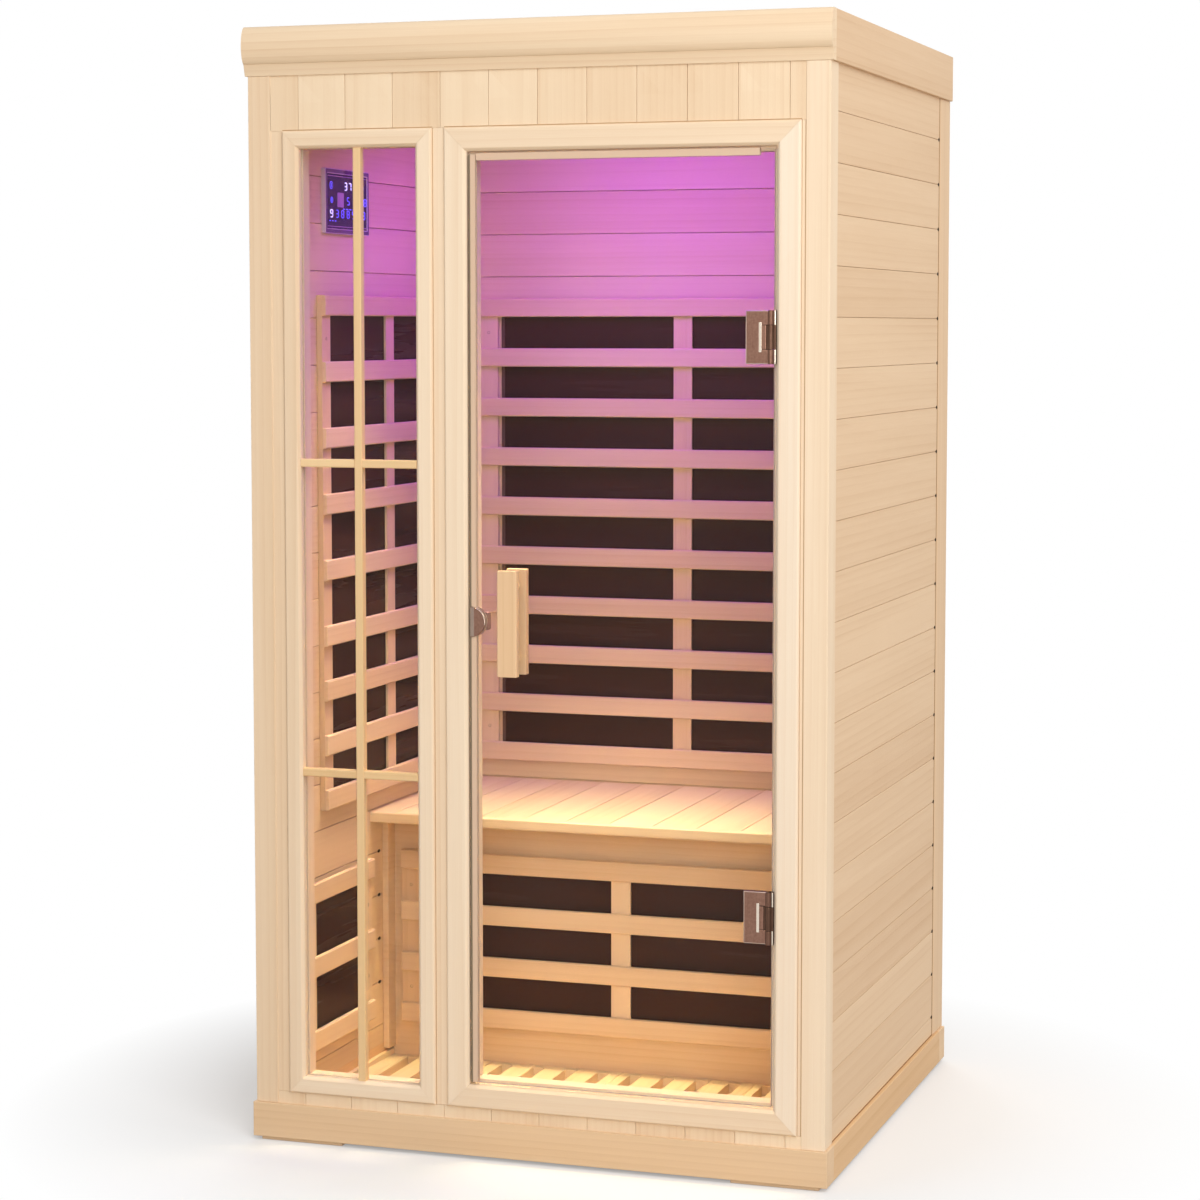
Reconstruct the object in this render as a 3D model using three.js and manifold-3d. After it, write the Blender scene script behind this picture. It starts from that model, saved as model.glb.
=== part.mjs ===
// One-person infrared sauna cabin: a knock-down timber box on a plank floor, with a frameless glass door,
// a narrow side window, a plank bench and flat heaters behind slatted wooden guards.
// Millimetres, +Z up. X runs across the front, the door faces -Y and the cabin stands on z = 0.

import * as THREE from 'three';
import { mergeVertices } from 'three/addons/utils/BufferGeometryUtils.js';
import Module from 'manifold-3d';

// Cabin over its corner posts, without the overhanging trim.
const CABIN_WIDTH = 1008;
const CABIN_DEPTH = 918;
const CABIN_HEIGHT = 1900;

// Base: feet, skirting timbers, deck and slotted duckboard.
const FOOT_HEIGHT = 6;
const FOOT_LENGTH = 150;
const FOOT_INSET = 14;
const SKIRT_HEIGHT = 60;
const TRIM_OVERHANG = 5;
const DECK_THICKNESS = 12;
const DECK_GROUND_GAP = 8;
const DUCKBOARD_THICKNESS = 18;
const FLOOR_BOARD_PITCH = 84.6;
const SLOT_WIDTH = 23;
const SLOT_PITCH = 62.4;
const SLOT_SIDE_MARGIN = 40;
const SLOT_FRONT_MARGIN = 50;
const SLOT_BACK_MARGIN = 15;
const EDGE_STRIP_WIDTH = 9;
const EDGE_STRIP_HEIGHT = 11;

// Posts and boarded walls.
const POST_WIDTH = 40;
const FRONT_POST_DEPTH = 50;
const REAR_POST_DEPTH = 82;
const WALL_THICKNESS = 45;
const BOARD_THICKNESS = 12;
const BOARD_PITCH = 82;
const BOARD_TOP_OFFSET = 76;
const GROOVE_WIDTH = 4;
const GROOVE_DEPTH = 2.5;
const CLADDING_RECESS = 2;

// Front wall: short upright boards above and below the window and the door.
const FRONT_BOARD_PITCH = 85;
const FRONT_BOARD_OFFSET = 51;
const FRONT_FACE_SETBACK = 2;
const HEADER_HEIGHT = 92;
const SILL_HEIGHT = 21;
const LEFT_STRIP_WIDTH = 22;
const MULLION_WIDTH = 21;
const RIGHT_STRIP_WIDTH = 7;

// Mitred frames of the window and of the door.
const FRAME_PROUD = 4;
const FRAME_OUTER_CHAMFER = 3;
const FRAME_INNER_CHAMFER = 5;
const MITRE_GAP = 0.3;
const WINDOW_WIDTH = 270;
const WINDOW_FRAME_WIDTH = 30;
const WINDOW_GLASS_SETBACK = 13;
const WINDOW_GLASS_THICKNESS = 5;
const GLASS_GROOVE_DEPTH = 8;
const GLAZING_CLEARANCE = 0.3;
const MUNTIN_UPRIGHT_WIDTH = 14;
const MUNTIN_BAR_HEIGHT = 14;
const MUNTIN_THICKNESS = 14;
const MUNTIN_BAR_COUNT = 2;
const DOOR_FRAME_WIDTH = 40;
const DOOR_STOP_WIDTH = 8;
const DOOR_STOP_SETBACK = 14;

// Glass door, its seals, handle and latch.
const DOOR_GLASS_THICKNESS = 6;
const DOOR_GLASS_SETBACK = 2;
const DOOR_GAP_HINGE = 4;
const DOOR_GAP_LATCH = 5;
const DOOR_GAP_ENDS = 5;
const SEAL_LIP = 10;
const SEAL_THICKNESS = 1.6;
const SEAL_CLEARANCE = 0.2;
const TOP_SEAL_STOP = 25;
const HANDLE_HEIGHT = 910;
const HANDLE_LENGTH = 176;
const HANDLE_WIDTH = 35;
const HANDLE_THICKNESS = 15;
const HANDLE_EDGE = 3;
const HANDLE_STANDOFF = 13;
const HANDLE_STANDOFF_RADIUS = 8;
const HANDLE_FIXING_SPACING = 120;
const HANDLE_FROM_LATCH_EDGE = 55;
const LATCH_WIDTH = 26;
const LATCH_LENGTH = 51;
const LATCH_THICKNESS = 3;
const LATCH_BOLT_OFFSET = 3;
const LATCH_TO_SEAL = 1;
const MAGNET_WIDTH = 22;
const MAGNET_LENGTH = 30;
const MAGNET_DEPTH = 16;
const MAGNET_GAP = 0.5;
const BOLT_RADIUS = 4;
const BOLT_CLEARANCE = 0.3;

// Door hinges: a leaf clamped to the glass and a leaf with the pin on the frame.
const HINGE_FROM_BOTTOM = 311;
const HINGE_FROM_TOP = 299;
const HINGE_LENGTH = 86;
const HINGE_PLATE_WIDTH = 43;
const HINGE_PLATE_THICKNESS = 3;
const HINGE_AXIS_TO_FRAME = 8;
const HINGE_AXIS_TO_GLASS = 6;
const HINGE_BARREL_RADIUS = 5;
const HINGE_PIN_RADIUS = 2;
const HINGE_CLEARANCE = 0.3;
const HINGE_KNUCKLE_LENGTH = 39;
const HINGE_NOTCH_DEPTH = 20;
const HINGE_BOLT_SPACING = 58;
const HINGE_STOP_GAP = 1;
const HINGE_JAMB_PROUD = 1;

// Roof: profiled front crown, flat side crowns, boarded ceiling and lid.
const CROWN_HEIGHT = 82;
const CROWN_BACK = 15;
const CROWN_LIP = 2;
const CROWN_BULGE = 14;
const CROWN_SPRING = 0.4;
const CROWN_QUIRK = 1;
const CROWN_FOOT = 1;
const CROWN_BAND_HEIGHT = 20;
const CROWN_SIDE_THICKNESS = 18;
const LID_THICKNESS = 6;
const LID_RECESS = 8;
const LID_FLANGE_DEPTH = 18;

// Bench.
const SEAT_HEIGHT = 510;
const SEAT_THICKNESS = 20;
const SEAT_DEPTH = 472;
const BENCH_OVERHANG = 90;
const BENCH_PANEL_THICKNESS = 12;
const BENCH_BATTEN_WIDTH = 33;
const BENCH_BATTEN_THICKNESS = 12;
const BENCH_BATTEN_FOOT = 6;

// Heaters and slatted guards.
const HEATER_THICKNESS = 4;
const HEATER_EDGE_GAP = 6;
const HEATER_FRONT_GAP = 0.5;
const SLAT_HEIGHT = 36;
const SLAT_THICKNESS = 8;
const SLAT_LAP = 1;
const SLAT_EDGE = 2;
const STILE_THICKNESS = 10;
const STILE_WIDTH = 37;
const WALL_GUARD_LIFT = 37;
const WALL_GUARD_FROM_CEILING = 364;
const BACK_GUARD_SIDE_MARGIN = 44;
const BACK_OPENING_COUNT = 9;
const SIDE_GUARD_FROM_FRONT = 131;
const SIDE_GUARD_FROM_BACK = 77;
const SIDE_UPPER_COUNT = 5;
const SIDE_LOWER_COUNT = 3;
const SIDE_LOWER_HEIGHT = 61;
const LEG_GUARD_SIDE_MARGIN = 30;
const LEG_GUARD_LIFT = 67;
const LEG_GUARD_FROM_SEAT = 61;
const LEG_OPENING_COUNT = 3;
const CALF_GUARD_LIFT = 91;
const CALF_GUARD_FROM_FRONT = 52;
const CALF_GUARD_FROM_BENCH = 73;
const CALF_OPENING_COUNT = 2;
const CALF_OPENING_HEIGHT = 95;

// Controls, light and power unit.
const CONTROL_WIDTH = 195;
const CONTROL_LENGTH = 114;
const CONTROL_THICKNESS = 8;
const CONTROL_EDGE = 3;
const CONTROL_RIM = 9;
const CONTROL_RECESS = 1.5;
const CONTROL_FROM_FRONT = 155;
const CONTROL_FROM_CEILING = 199;
const LIGHT_RADIUS = 70;
const LIGHT_THICKNESS = 16;
const LIGHT_FROM_CENTRE = 150;
const LIGHT_FROM_BACK = 300;
const POWER_UNIT_WIDTH = 240;
const POWER_UNIT_LENGTH = 160;
const POWER_UNIT_HEIGHT = 36;
const POWER_UNIT_EDGE = 6;
const POWER_UNIT_FROM_BACK = 240;

// Steps of a half circle.
const ROUND_SEGMENTS = 10;

// Planes shared by neighbouring pieces.
const HALF_WIDTH = CABIN_WIDTH / 2;
const TRIM_X = HALF_WIDTH + TRIM_OVERHANG;
const POST_INNER_X = HALF_WIDTH - POST_WIDTH;
const ROOM_X = HALF_WIDTH - WALL_THICKNESS;
const ROOM_FRONT = WALL_THICKNESS;
const ROOM_BACK = CABIN_DEPTH - WALL_THICKNESS;
const REAR_POST_FRONT = CABIN_DEPTH - REAR_POST_DEPTH;
const REAR_CORNER = CABIN_DEPTH - POST_WIDTH;
const BASE_TOP = FOOT_HEIGHT + SKIRT_HEIGHT;
const DECK_TOP = DECK_GROUND_GAP + DECK_THICKNESS;
const FLOOR_TOP = DECK_TOP + DUCKBOARD_THICKNESS;
const WALL_TOP = CABIN_HEIGHT - CROWN_HEIGHT;
const CEILING_TOP = WALL_TOP + BOARD_THICKNESS;
const OPENINGS_BOTTOM = BASE_TOP + SILL_HEIGHT;
const OPENINGS_TOP = WALL_TOP - HEADER_HEIGHT;
const FIRST_JOINT = WALL_TOP - BOARD_TOP_OFFSET;
const WINDOW_LEFT = -POST_INNER_X + LEFT_STRIP_WIDTH;
const WINDOW_RIGHT = WINDOW_LEFT + WINDOW_WIDTH;
const DOOR_FRAME_LEFT = WINDOW_RIGHT + MULLION_WIDTH;
const DOOR_FRAME_RIGHT = POST_INNER_X - RIGHT_STRIP_WIDTH;
const DOORWAY_LEFT = DOOR_FRAME_LEFT + DOOR_FRAME_WIDTH;
const DOORWAY_RIGHT = DOOR_FRAME_RIGHT - DOOR_FRAME_WIDTH;
const DOOR_LEFT = DOORWAY_LEFT + DOOR_GAP_LATCH;
const DOOR_RIGHT = DOORWAY_RIGHT - DOOR_GAP_HINGE;
const DOOR_BOTTOM = OPENINGS_BOTTOM + DOOR_FRAME_WIDTH + DOOR_GAP_ENDS;
const DOOR_TOP = OPENINGS_TOP - DOOR_FRAME_WIDTH - DOOR_GAP_ENDS;
const DOOR_FRONT = DOOR_GLASS_SETBACK;
const DOOR_BACK = DOOR_FRONT + DOOR_GLASS_THICKNESS;
const HINGE_HEIGHTS = [DOOR_BOTTOM + HINGE_FROM_BOTTOM, DOOR_TOP - HINGE_FROM_TOP];
const HINGE_X = DOORWAY_RIGHT - HINGE_AXIS_TO_FRAME;
const HINGE_Y = DOOR_FRONT - HINGE_AXIS_TO_GLASS;
const HINGE_BOLT_X = HINGE_X - HINGE_PLATE_WIDTH / 2;
const HANDLE_X = DOOR_LEFT + HANDLE_FROM_LATCH_EDGE + HANDLE_WIDTH / 2;
const SEAL_END = DOOR_LEFT + SEAL_LIP + LATCH_TO_SEAL;
const SEAL_BUILD = 2 * SEAL_CLEARANCE + SEAL_THICKNESS;
const SEAT_FRONT = ROOM_BACK - SEAT_DEPTH;
const BENCH_FRONT = SEAT_FRONT + BENCH_OVERHANG;
const FRONT_LIMIT = DOOR_FRONT - HANDLE_STANDOFF - HANDLE_THICKNESS;

// Finishes: colour, roughness and metalness.
const WOOD = { color: 0xe8cda6, roughness: 0.62, metalness: 0 };
const WOOD_PALE = { color: 0xf0dab8, roughness: 0.6, metalness: 0 };
const WOOD_WARM = { color: 0xdeb98a, roughness: 0.62, metalness: 0 };
const GLASS = { color: 0xdfe9e6, roughness: 0.05, metalness: 0, transparent: true, opacity: 0.25 };
const SEAL = { color: 0xe9e6dc, roughness: 0.4, metalness: 0 };
const BRONZE = { color: 0x8b5f48, roughness: 0.35, metalness: 0.9 };
const STEEL = { color: 0xb9bcc0, roughness: 0.4, metalness: 0.9 };
const HEATER = { color: 0x4a2b22, roughness: 0.45, metalness: 0 };
const DARK_PLASTIC = { color: 0x23242a, roughness: 0.3, metalness: 0 };
const LAMP = { color: 0xd9c3f2, roughness: 0.4, metalness: 0 };

const wasm = await Module();
wasm.setup();

function toSolid(geometry) {
  const bare = geometry.index ? geometry.toNonIndexed() : geometry.clone();
  bare.deleteAttribute('normal');
  bare.deleteAttribute('uv');
  const merged = mergeVertices(bare, 1e-4);
  const vertProperties = new Float32Array(merged.attributes.position.array);
  const triVerts = new Uint32Array(merged.index.array);
  return new wasm.Manifold(new wasm.Mesh({ numProp: 3, vertProperties, triVerts }));
}

function toGeometry(solid) {
  const mesh = solid.getMesh();
  const geometry = new THREE.BufferGeometry();
  geometry.setAttribute('position', new THREE.BufferAttribute(new Float32Array(mesh.vertProperties), 3));
  geometry.setIndex(new THREE.BufferAttribute(new Uint32Array(mesh.triVerts), 1));
  geometry.computeVertexNormals();
  return geometry;
}

function join(...geometries) {
  return toGeometry(geometries.map(toSolid).reduce((whole, piece) => whole.add(piece)));
}

function cut(geometry, ...tools) {
  return toGeometry(tools.map(toSolid).reduce((rest, tool) => rest.subtract(tool), toSolid(geometry)));
}

function block([x0, x1], [y0, y1], [z0, z1]) {
  const geometry = new THREE.BoxGeometry(x1 - x0, y1 - y0, z1 - z0);
  return geometry.translate((x0 + x1) / 2, (y0 + y1) / 2, (z0 + z1) / 2);
}

// Turns that carry an outline drawn in a plane to the axis it is extruded along.
const ALONG_X = new THREE.Matrix4().set(0, 0, 1, 0, 1, 0, 0, 0, 0, 1, 0, 0, 0, 0, 0, 1);
const ALONG_Y = new THREE.Matrix4().set(1, 0, 0, 0, 0, 0, -1, 0, 0, 1, 0, 0, 0, 0, 0, 1);

// Extrude an outline: (y, z) points along x, (x, z) points along y or (x, y) points along z.
function prism(outline, axis, [from, to]) {
  const isShape = outline instanceof THREE.Shape;
  const shape = isShape ? outline : new THREE.Shape(outline.map(([a, b]) => new THREE.Vector2(a, b)));
  const options = { depth: to - from, bevelEnabled: false, curveSegments: ROUND_SEGMENTS };
  const geometry = new THREE.ExtrudeGeometry(shape, options);
  if (axis === 'x') return geometry.translate(0, 0, from).applyMatrix4(ALONG_X);
  if (axis === 'y') return geometry.translate(0, 0, -to).applyMatrix4(ALONG_Y);
  return geometry.translate(0, 0, from);
}

// Round bar along z or y, centred on a point of the plane across it.
function bar(radius, axis, [a, b], span) {
  const circle = new THREE.Shape().absarc(a, b, radius, 0, 2 * Math.PI, false);
  return prism(circle, axis, span);
}

// Rectangle with its four corners cut off.
function chamferedRectangle([a0, a1], [b0, b1], edge) {
  return [
    [a0 + edge, b0], [a1 - edge, b0], [a1, b0 + edge], [a1, b1 - edge],
    [a1 - edge, b1], [a0 + edge, b1], [a0, b1 - edge], [a0, b0 + edge],
  ];
}

// Places of the board joints between two edges, stepped from a first joint in both directions.
function jointPlaces([from, to], firstJoint, pitch) {
  const start = firstJoint - Math.floor((firstJoint - from - GROOVE_WIDTH) / pitch) * pitch;
  const count = Math.floor((to - GROOVE_WIDTH - start) / pitch) + 1;
  return Array.from({ length: count }, (_, index) => start + index * pitch);
}

// Section of a tongue-and-groove panel as (along, depth): V joints in the face at depth 0, flat back.
function boardedSection([from, to], firstJoint, pitch, thickness) {
  const joints = jointPlaces([from, to], firstJoint, pitch).flatMap((place) => [
    [place - GROOVE_WIDTH / 2, 0], [place, GROOVE_DEPTH], [place + GROOVE_WIDTH / 2, 0],
  ]);
  return [[from, 0], ...joints, [to, 0], [to, thickness], [from, thickness]];
}

function piece(name, finish, geometry) {
  const mesh = new THREE.Mesh(geometry, new THREE.MeshStandardMaterial(finish));
  mesh.name = name;
  return mesh;
}

function assembly(...parts) {
  return new THREE.Group().add(...parts);
}

const SIDES = [['left', -1], ['right', 1]];

// Ordered span between two x values given for the right-hand side, mirrored for the left-hand one.
function sideSpan(side, inner, outer) {
  return side > 0 ? [inner, outer] : [-outer, -inner];
}

// A skirting timber on two foot blocks, across the full width.
function footedTimber([y0, y1]) {
  const feet = SIDES.map(([, side]) => {
    const outer = TRIM_X - FOOT_INSET;
    const x = sideSpan(side, outer - FOOT_LENGTH, outer);
    return block(x, [Math.max(y0, 0), y1], [0, FOOT_HEIGHT + 1]);
  });
  return join(block([-TRIM_X, TRIM_X], [y0, y1], [FOOT_HEIGHT, BASE_TOP]), ...feet);
}

// Duckboard of front-to-back planks with a row of long slots, and a low strip along each side wall.
function duckboard() {
  const section = boardedSection([-ROOM_X, ROOM_X], 0, FLOOR_BOARD_PITCH, DUCKBOARD_THICKNESS);
  const y = [ROOM_FRONT, BENCH_FRONT];
  const planks = prism(section.map(([x, d]) => [x, FLOOR_TOP - d]), 'y', y);
  const reach = ROOM_X - SLOT_SIDE_MARGIN - SLOT_WIDTH / 2;
  const count = Math.floor((2 * reach) / SLOT_PITCH) + 1;
  const slots = Array.from({ length: count }, (_, index) => {
    const x = (index - (count - 1) / 2) * SLOT_PITCH;
    const slotY = [ROOM_FRONT + SLOT_FRONT_MARGIN, BENCH_FRONT - SLOT_BACK_MARGIN];
    return block([x - SLOT_WIDTH / 2, x + SLOT_WIDTH / 2], slotY, [DECK_TOP - 1, FLOOR_TOP + 1]);
  });
  const strips = SIDES.map(([, side]) => {
    const x = sideSpan(side, ROOM_X - EDGE_STRIP_WIDTH, ROOM_X);
    return block(x, y, [FLOOR_TOP - 1, FLOOR_TOP + EDGE_STRIP_HEIGHT]);
  });
  return join(cut(planks, ...slots), ...strips);
}

function base() {
  const roomY = [ROOM_FRONT, ROOM_BACK];
  const sideTimbers = SIDES.map(([name, side]) => {
    const timber = block(sideSpan(side, ROOM_X, TRIM_X), roomY, [FOOT_HEIGHT, BASE_TOP]);
    return piece(`skirt_${name}`, WOOD_WARM, timber);
  });
  const deck = block([-ROOM_X, ROOM_X], roomY, [DECK_GROUND_GAP, DECK_TOP]);
  return assembly(
    piece('skirt_front', WOOD_WARM, footedTimber([-TRIM_OVERHANG, ROOM_FRONT])),
    piece('skirt_back', WOOD_WARM, footedTimber([ROOM_BACK, CABIN_DEPTH])),
    ...sideTimbers,
    piece('floor_deck', WOOD, deck),
    piece('floor_duckboard', WOOD_PALE, duckboard()),
  );
}

// Side wall: boards set between the corner posts, outside and inside, with an air space between.
// The rear post is rebated, and its outer part runs forward behind the end of the lining.
function sideWall(name, side) {
  const height = [BASE_TOP, WALL_TOP];
  const section = boardedSection(height, FIRST_JOINT, BOARD_PITCH, BOARD_THICKNESS);
  const outside = HALF_WIDTH - CLADDING_RECESS;
  const claddingY = [FRONT_POST_DEPTH, REAR_POST_FRONT];
  const cladding = prism(section.map(([z, d]) => [side * (outside - d), z]), 'y', claddingY);
  const liningY = [FRONT_POST_DEPTH, REAR_CORNER];
  const lining = prism(section.map(([z, d]) => [side * (ROOM_X + d), z]), 'y', liningY);
  const rebateX = ROOM_X + BOARD_THICKNESS;
  const post = join(
    block(sideSpan(side, POST_INNER_X, HALF_WIDTH), [REAR_CORNER, CABIN_DEPTH], height),
    block(sideSpan(side, rebateX, HALF_WIDTH), [REAR_POST_FRONT, REAR_CORNER + 1], height),
  );
  return [
    piece(`rear_post_${name}`, WOOD, post),
    piece(`${name}_cladding`, WOOD, cladding),
    piece(`${name}_lining`, WOOD, lining),
  ];
}

function backWall() {
  const height = [BASE_TOP, WALL_TOP];
  const section = boardedSection(height, FIRST_JOINT, BOARD_PITCH, BOARD_THICKNESS);
  const outside = CABIN_DEPTH - CLADDING_RECESS;
  const cladding = section.map(([z, d]) => [outside - d, z]);
  const lining = section.map(([z, d]) => [ROOM_BACK + d, z]);
  return [
    piece('back_cladding', WOOD, prism(cladding, 'x', [-POST_INNER_X, POST_INNER_X])),
    piece('back_lining', WOOD, prism(lining, 'x', [-ROOM_X, ROOM_X])),
  ];
}

// Front corner post with the narrow upright board that closes the wall up to the next frame.
function frontPost(side, stripWidth) {
  const post = block(sideSpan(side, POST_INNER_X, HALF_WIDTH), [0, FRONT_POST_DEPTH], [BASE_TOP, WALL_TOP]);
  const stripX = sideSpan(side, POST_INNER_X - stripWidth, POST_INNER_X + 1);
  const strip = block(stripX, [FRONT_FACE_SETBACK, WALL_THICKNESS], [OPENINGS_BOTTOM, OPENINGS_TOP]);
  return join(post, strip);
}

function frontWall() {
  const x = [-POST_INNER_X, POST_INNER_X];
  const thickness = WALL_THICKNESS - FRONT_FACE_SETBACK;
  const firstJoint = -POST_INNER_X + FRONT_BOARD_OFFSET;
  const section = boardedSection(x, firstJoint, FRONT_BOARD_PITCH, thickness);
  const outline = section.map(([along, d]) => [along, FRONT_FACE_SETBACK + d]);
  const mullionY = [FRONT_FACE_SETBACK, WALL_THICKNESS];
  const mullion = block([WINDOW_RIGHT, DOOR_FRAME_LEFT], mullionY, [OPENINGS_BOTTOM, OPENINGS_TOP]);
  return assembly(
    piece('front_post_left', WOOD_PALE, frontPost(-1, LEFT_STRIP_WIDTH)),
    piece('front_post_right', WOOD_PALE, frontPost(1, RIGHT_STRIP_WIDTH)),
    piece('front_mullion', WOOD_PALE, mullion),
    piece('front_header', WOOD_PALE, prism(outline, 'z', [OPENINGS_TOP, WALL_TOP])),
    piece('front_sill', WOOD_PALE, prism(outline, 'z', [BASE_TOP, OPENINGS_BOTTOM])),
  );
}

// One side of a rectangular frame, lying along x with its outer edge down and its ends mitred.
// The section is given as (y, rise from the outer edge), and `reach` is the frame's half height.
function mitredMember(section, length, reach) {
  const outline = section.map(([y, rise]) => [y, rise - reach]);
  const geometry = prism(outline, 'x', [-length / 2, length / 2]);
  const position = geometry.attributes.position;
  for (let index = 0; index < position.count; index += 1) {
    const rise = position.getZ(index) + reach;
    const end = length / 2 - rise - MITRE_GAP / 2;
    position.setX(index, Math.sign(position.getX(index)) * end);
  }
  return geometry;
}

// Four mitred members round an opening, turned about the frame's centre.
function mitredFrame(name, section, [x0, x1], [z0, z1]) {
  const width = x1 - x0;
  const height = z1 - z0;
  const members = [
    ['bottom', width, height / 2, 0],
    ['left', height, width / 2, Math.PI / 2],
    ['top', width, height / 2, Math.PI],
    ['right', height, width / 2, -Math.PI / 2],
  ];
  return members.map(([place, length, reach, turn]) => {
    const member = piece(`${name}_frame_${place}`, WOOD_PALE, mitredMember(section, length, reach));
    member.rotation.y = turn;
    member.position.set((x0 + x1) / 2, 0, (z0 + z1) / 2);
    return member;
  });
}

// Front part of a frame's section, with its outer and inner edges eased.
function frameFace(width) {
  return [
    [WALL_THICKNESS, 0], [FRAME_OUTER_CHAMFER - FRAME_PROUD, 0], [-FRAME_PROUD, FRAME_OUTER_CHAMFER],
    [-FRAME_PROUD, width - FRAME_INNER_CHAMFER], [FRAME_INNER_CHAMFER - FRAME_PROUD, width],
  ];
}

// Upright and cross bars planted on the window glass.
function muntins([x0, x1], [z0, z1]) {
  const y = [WINDOW_GLASS_SETBACK - MUNTIN_THICKNESS, WINDOW_GLASS_SETBACK];
  const middle = (x0 + x1) / 2;
  const upright = block([middle - MUNTIN_UPRIGHT_WIDTH / 2, middle + MUNTIN_UPRIGHT_WIDTH / 2], y, [z0, z1]);
  const bars = Array.from({ length: MUNTIN_BAR_COUNT }, (_, index) => {
    const height = z0 + ((z1 - z0) * (index + 1)) / (MUNTIN_BAR_COUNT + 1);
    return block([x0, x1], y, [height - MUNTIN_BAR_HEIGHT / 2, height + MUNTIN_BAR_HEIGHT / 2]);
  });
  return join(upright, ...bars);
}

function windowUnit() {
  const x = [WINDOW_LEFT, WINDOW_RIGHT];
  const z = [OPENINGS_BOTTOM, OPENINGS_TOP];
  const sight = WINDOW_FRAME_WIDTH;
  const grooveFront = WINDOW_GLASS_SETBACK - GLAZING_CLEARANCE;
  const grooveBack = WINDOW_GLASS_SETBACK + WINDOW_GLASS_THICKNESS + GLAZING_CLEARANCE;
  const section = [
    ...frameFace(sight),
    [grooveFront, sight], [grooveFront, sight - GLASS_GROOVE_DEPTH],
    [grooveBack, sight - GLASS_GROOVE_DEPTH], [grooveBack, sight], [WALL_THICKNESS, sight],
  ];
  const glassInset = sight - GLASS_GROOVE_DEPTH + GLAZING_CLEARANCE;
  const glassY = [WINDOW_GLASS_SETBACK, WINDOW_GLASS_SETBACK + WINDOW_GLASS_THICKNESS];
  const inset = ([from, to], amount) => [from + amount, to - amount];
  return assembly(
    ...mitredFrame('window', section, x, z),
    piece('window_glass', GLASS, block(inset(x, glassInset), glassY, inset(z, glassInset))),
    piece('window_muntins', WOOD_PALE, muntins(inset(x, sight), inset(z, sight))),
  );
}

// The door frame has a stop all round that the closed door lies in front of.
function doorFrame() {
  const width = DOOR_FRAME_WIDTH;
  const section = [
    ...frameFace(width),
    [DOOR_STOP_SETBACK, width], [DOOR_STOP_SETBACK, width + DOOR_STOP_WIDTH],
    [WALL_THICKNESS, width + DOOR_STOP_WIDTH],
  ];
  const z = [OPENINGS_BOTTOM, OPENINGS_TOP];
  return mitredFrame('door', section, [DOOR_FRAME_LEFT, DOOR_FRAME_RIGHT], z);
}

// Bolts through the glass: hinge clamps, handle fixings and the latch.
const HINGE_BOLTS = HINGE_HEIGHTS.flatMap((height) => {
  return [-1, 1].map((end) => [HINGE_BOLT_X, height + (end * HINGE_BOLT_SPACING) / 2]);
});
const HANDLE_BOLTS = [-1, 1].map((end) => [HANDLE_X, HANDLE_HEIGHT + (end * HANDLE_FIXING_SPACING) / 2]);
const LATCH_BOLT = [SEAL_END + LATCH_BOLT_OFFSET + BOLT_RADIUS, HANDLE_HEIGHT];

function doorGlass() {
  const pane = block([DOOR_LEFT, DOOR_RIGHT], [DOOR_FRONT, DOOR_BACK], [DOOR_BOTTOM, DOOR_TOP]);
  const holes = [...HINGE_BOLTS, ...HANDLE_BOLTS, LATCH_BOLT].map((centre) => {
    return bar(BOLT_RADIUS + BOLT_CLEARANCE, 'y', centre, [DOOR_FRONT - 1, DOOR_BACK + 1]);
  });
  return cut(pane, ...holes);
}

// Channel pushed over an edge of the glass, as (distance in from the edge, y) points.
function sealSection() {
  const outer = -SEAL_CLEARANCE - SEAL_THICKNESS;
  const front = DOOR_FRONT - SEAL_CLEARANCE;
  const back = DOOR_BACK + SEAL_CLEARANCE;
  return [
    [outer, front - SEAL_THICKNESS], [SEAL_LIP, front - SEAL_THICKNESS], [SEAL_LIP, front],
    [-SEAL_CLEARANCE, front], [-SEAL_CLEARANCE, back], [SEAL_LIP, back],
    [SEAL_LIP, back + SEAL_THICKNESS], [outer, back + SEAL_THICKNESS],
  ];
}

function handleBoard([y0, y1]) {
  const x = [HANDLE_X - HANDLE_WIDTH / 2, HANDLE_X + HANDLE_WIDTH / 2];
  const z = [HANDLE_HEIGHT - HANDLE_LENGTH / 2, HANDLE_HEIGHT + HANDLE_LENGTH / 2];
  return prism(chamferedRectangle(x, [y0, y1], HANDLE_EDGE), 'z', z);
}

// Grip boards stand off both faces of the glass on dowels, and the inner one carries the bolts.
function handle() {
  const outerY = [FRONT_LIMIT, DOOR_FRONT - HANDLE_STANDOFF];
  const innerY = [DOOR_BACK + HANDLE_STANDOFF, DOOR_BACK + HANDLE_STANDOFF + HANDLE_THICKNESS];
  const dowels = (span) => HANDLE_BOLTS.map((centre) => bar(HANDLE_STANDOFF_RADIUS, 'y', centre, span));
  const bolts = HANDLE_BOLTS.map((centre) => bar(BOLT_RADIUS, 'y', centre, [DOOR_FRONT, innerY[0]]));
  const outer = join(handleBoard(outerY), ...dowels([outerY[1] - 1, DOOR_FRONT]));
  const inner = join(handleBoard(innerY), ...dowels([DOOR_BACK, innerY[0] + 1]), ...bolts);
  return [piece('handle_outer', WOOD_PALE, outer), piece('handle_inner', WOOD_PALE, inner)];
}

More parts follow.
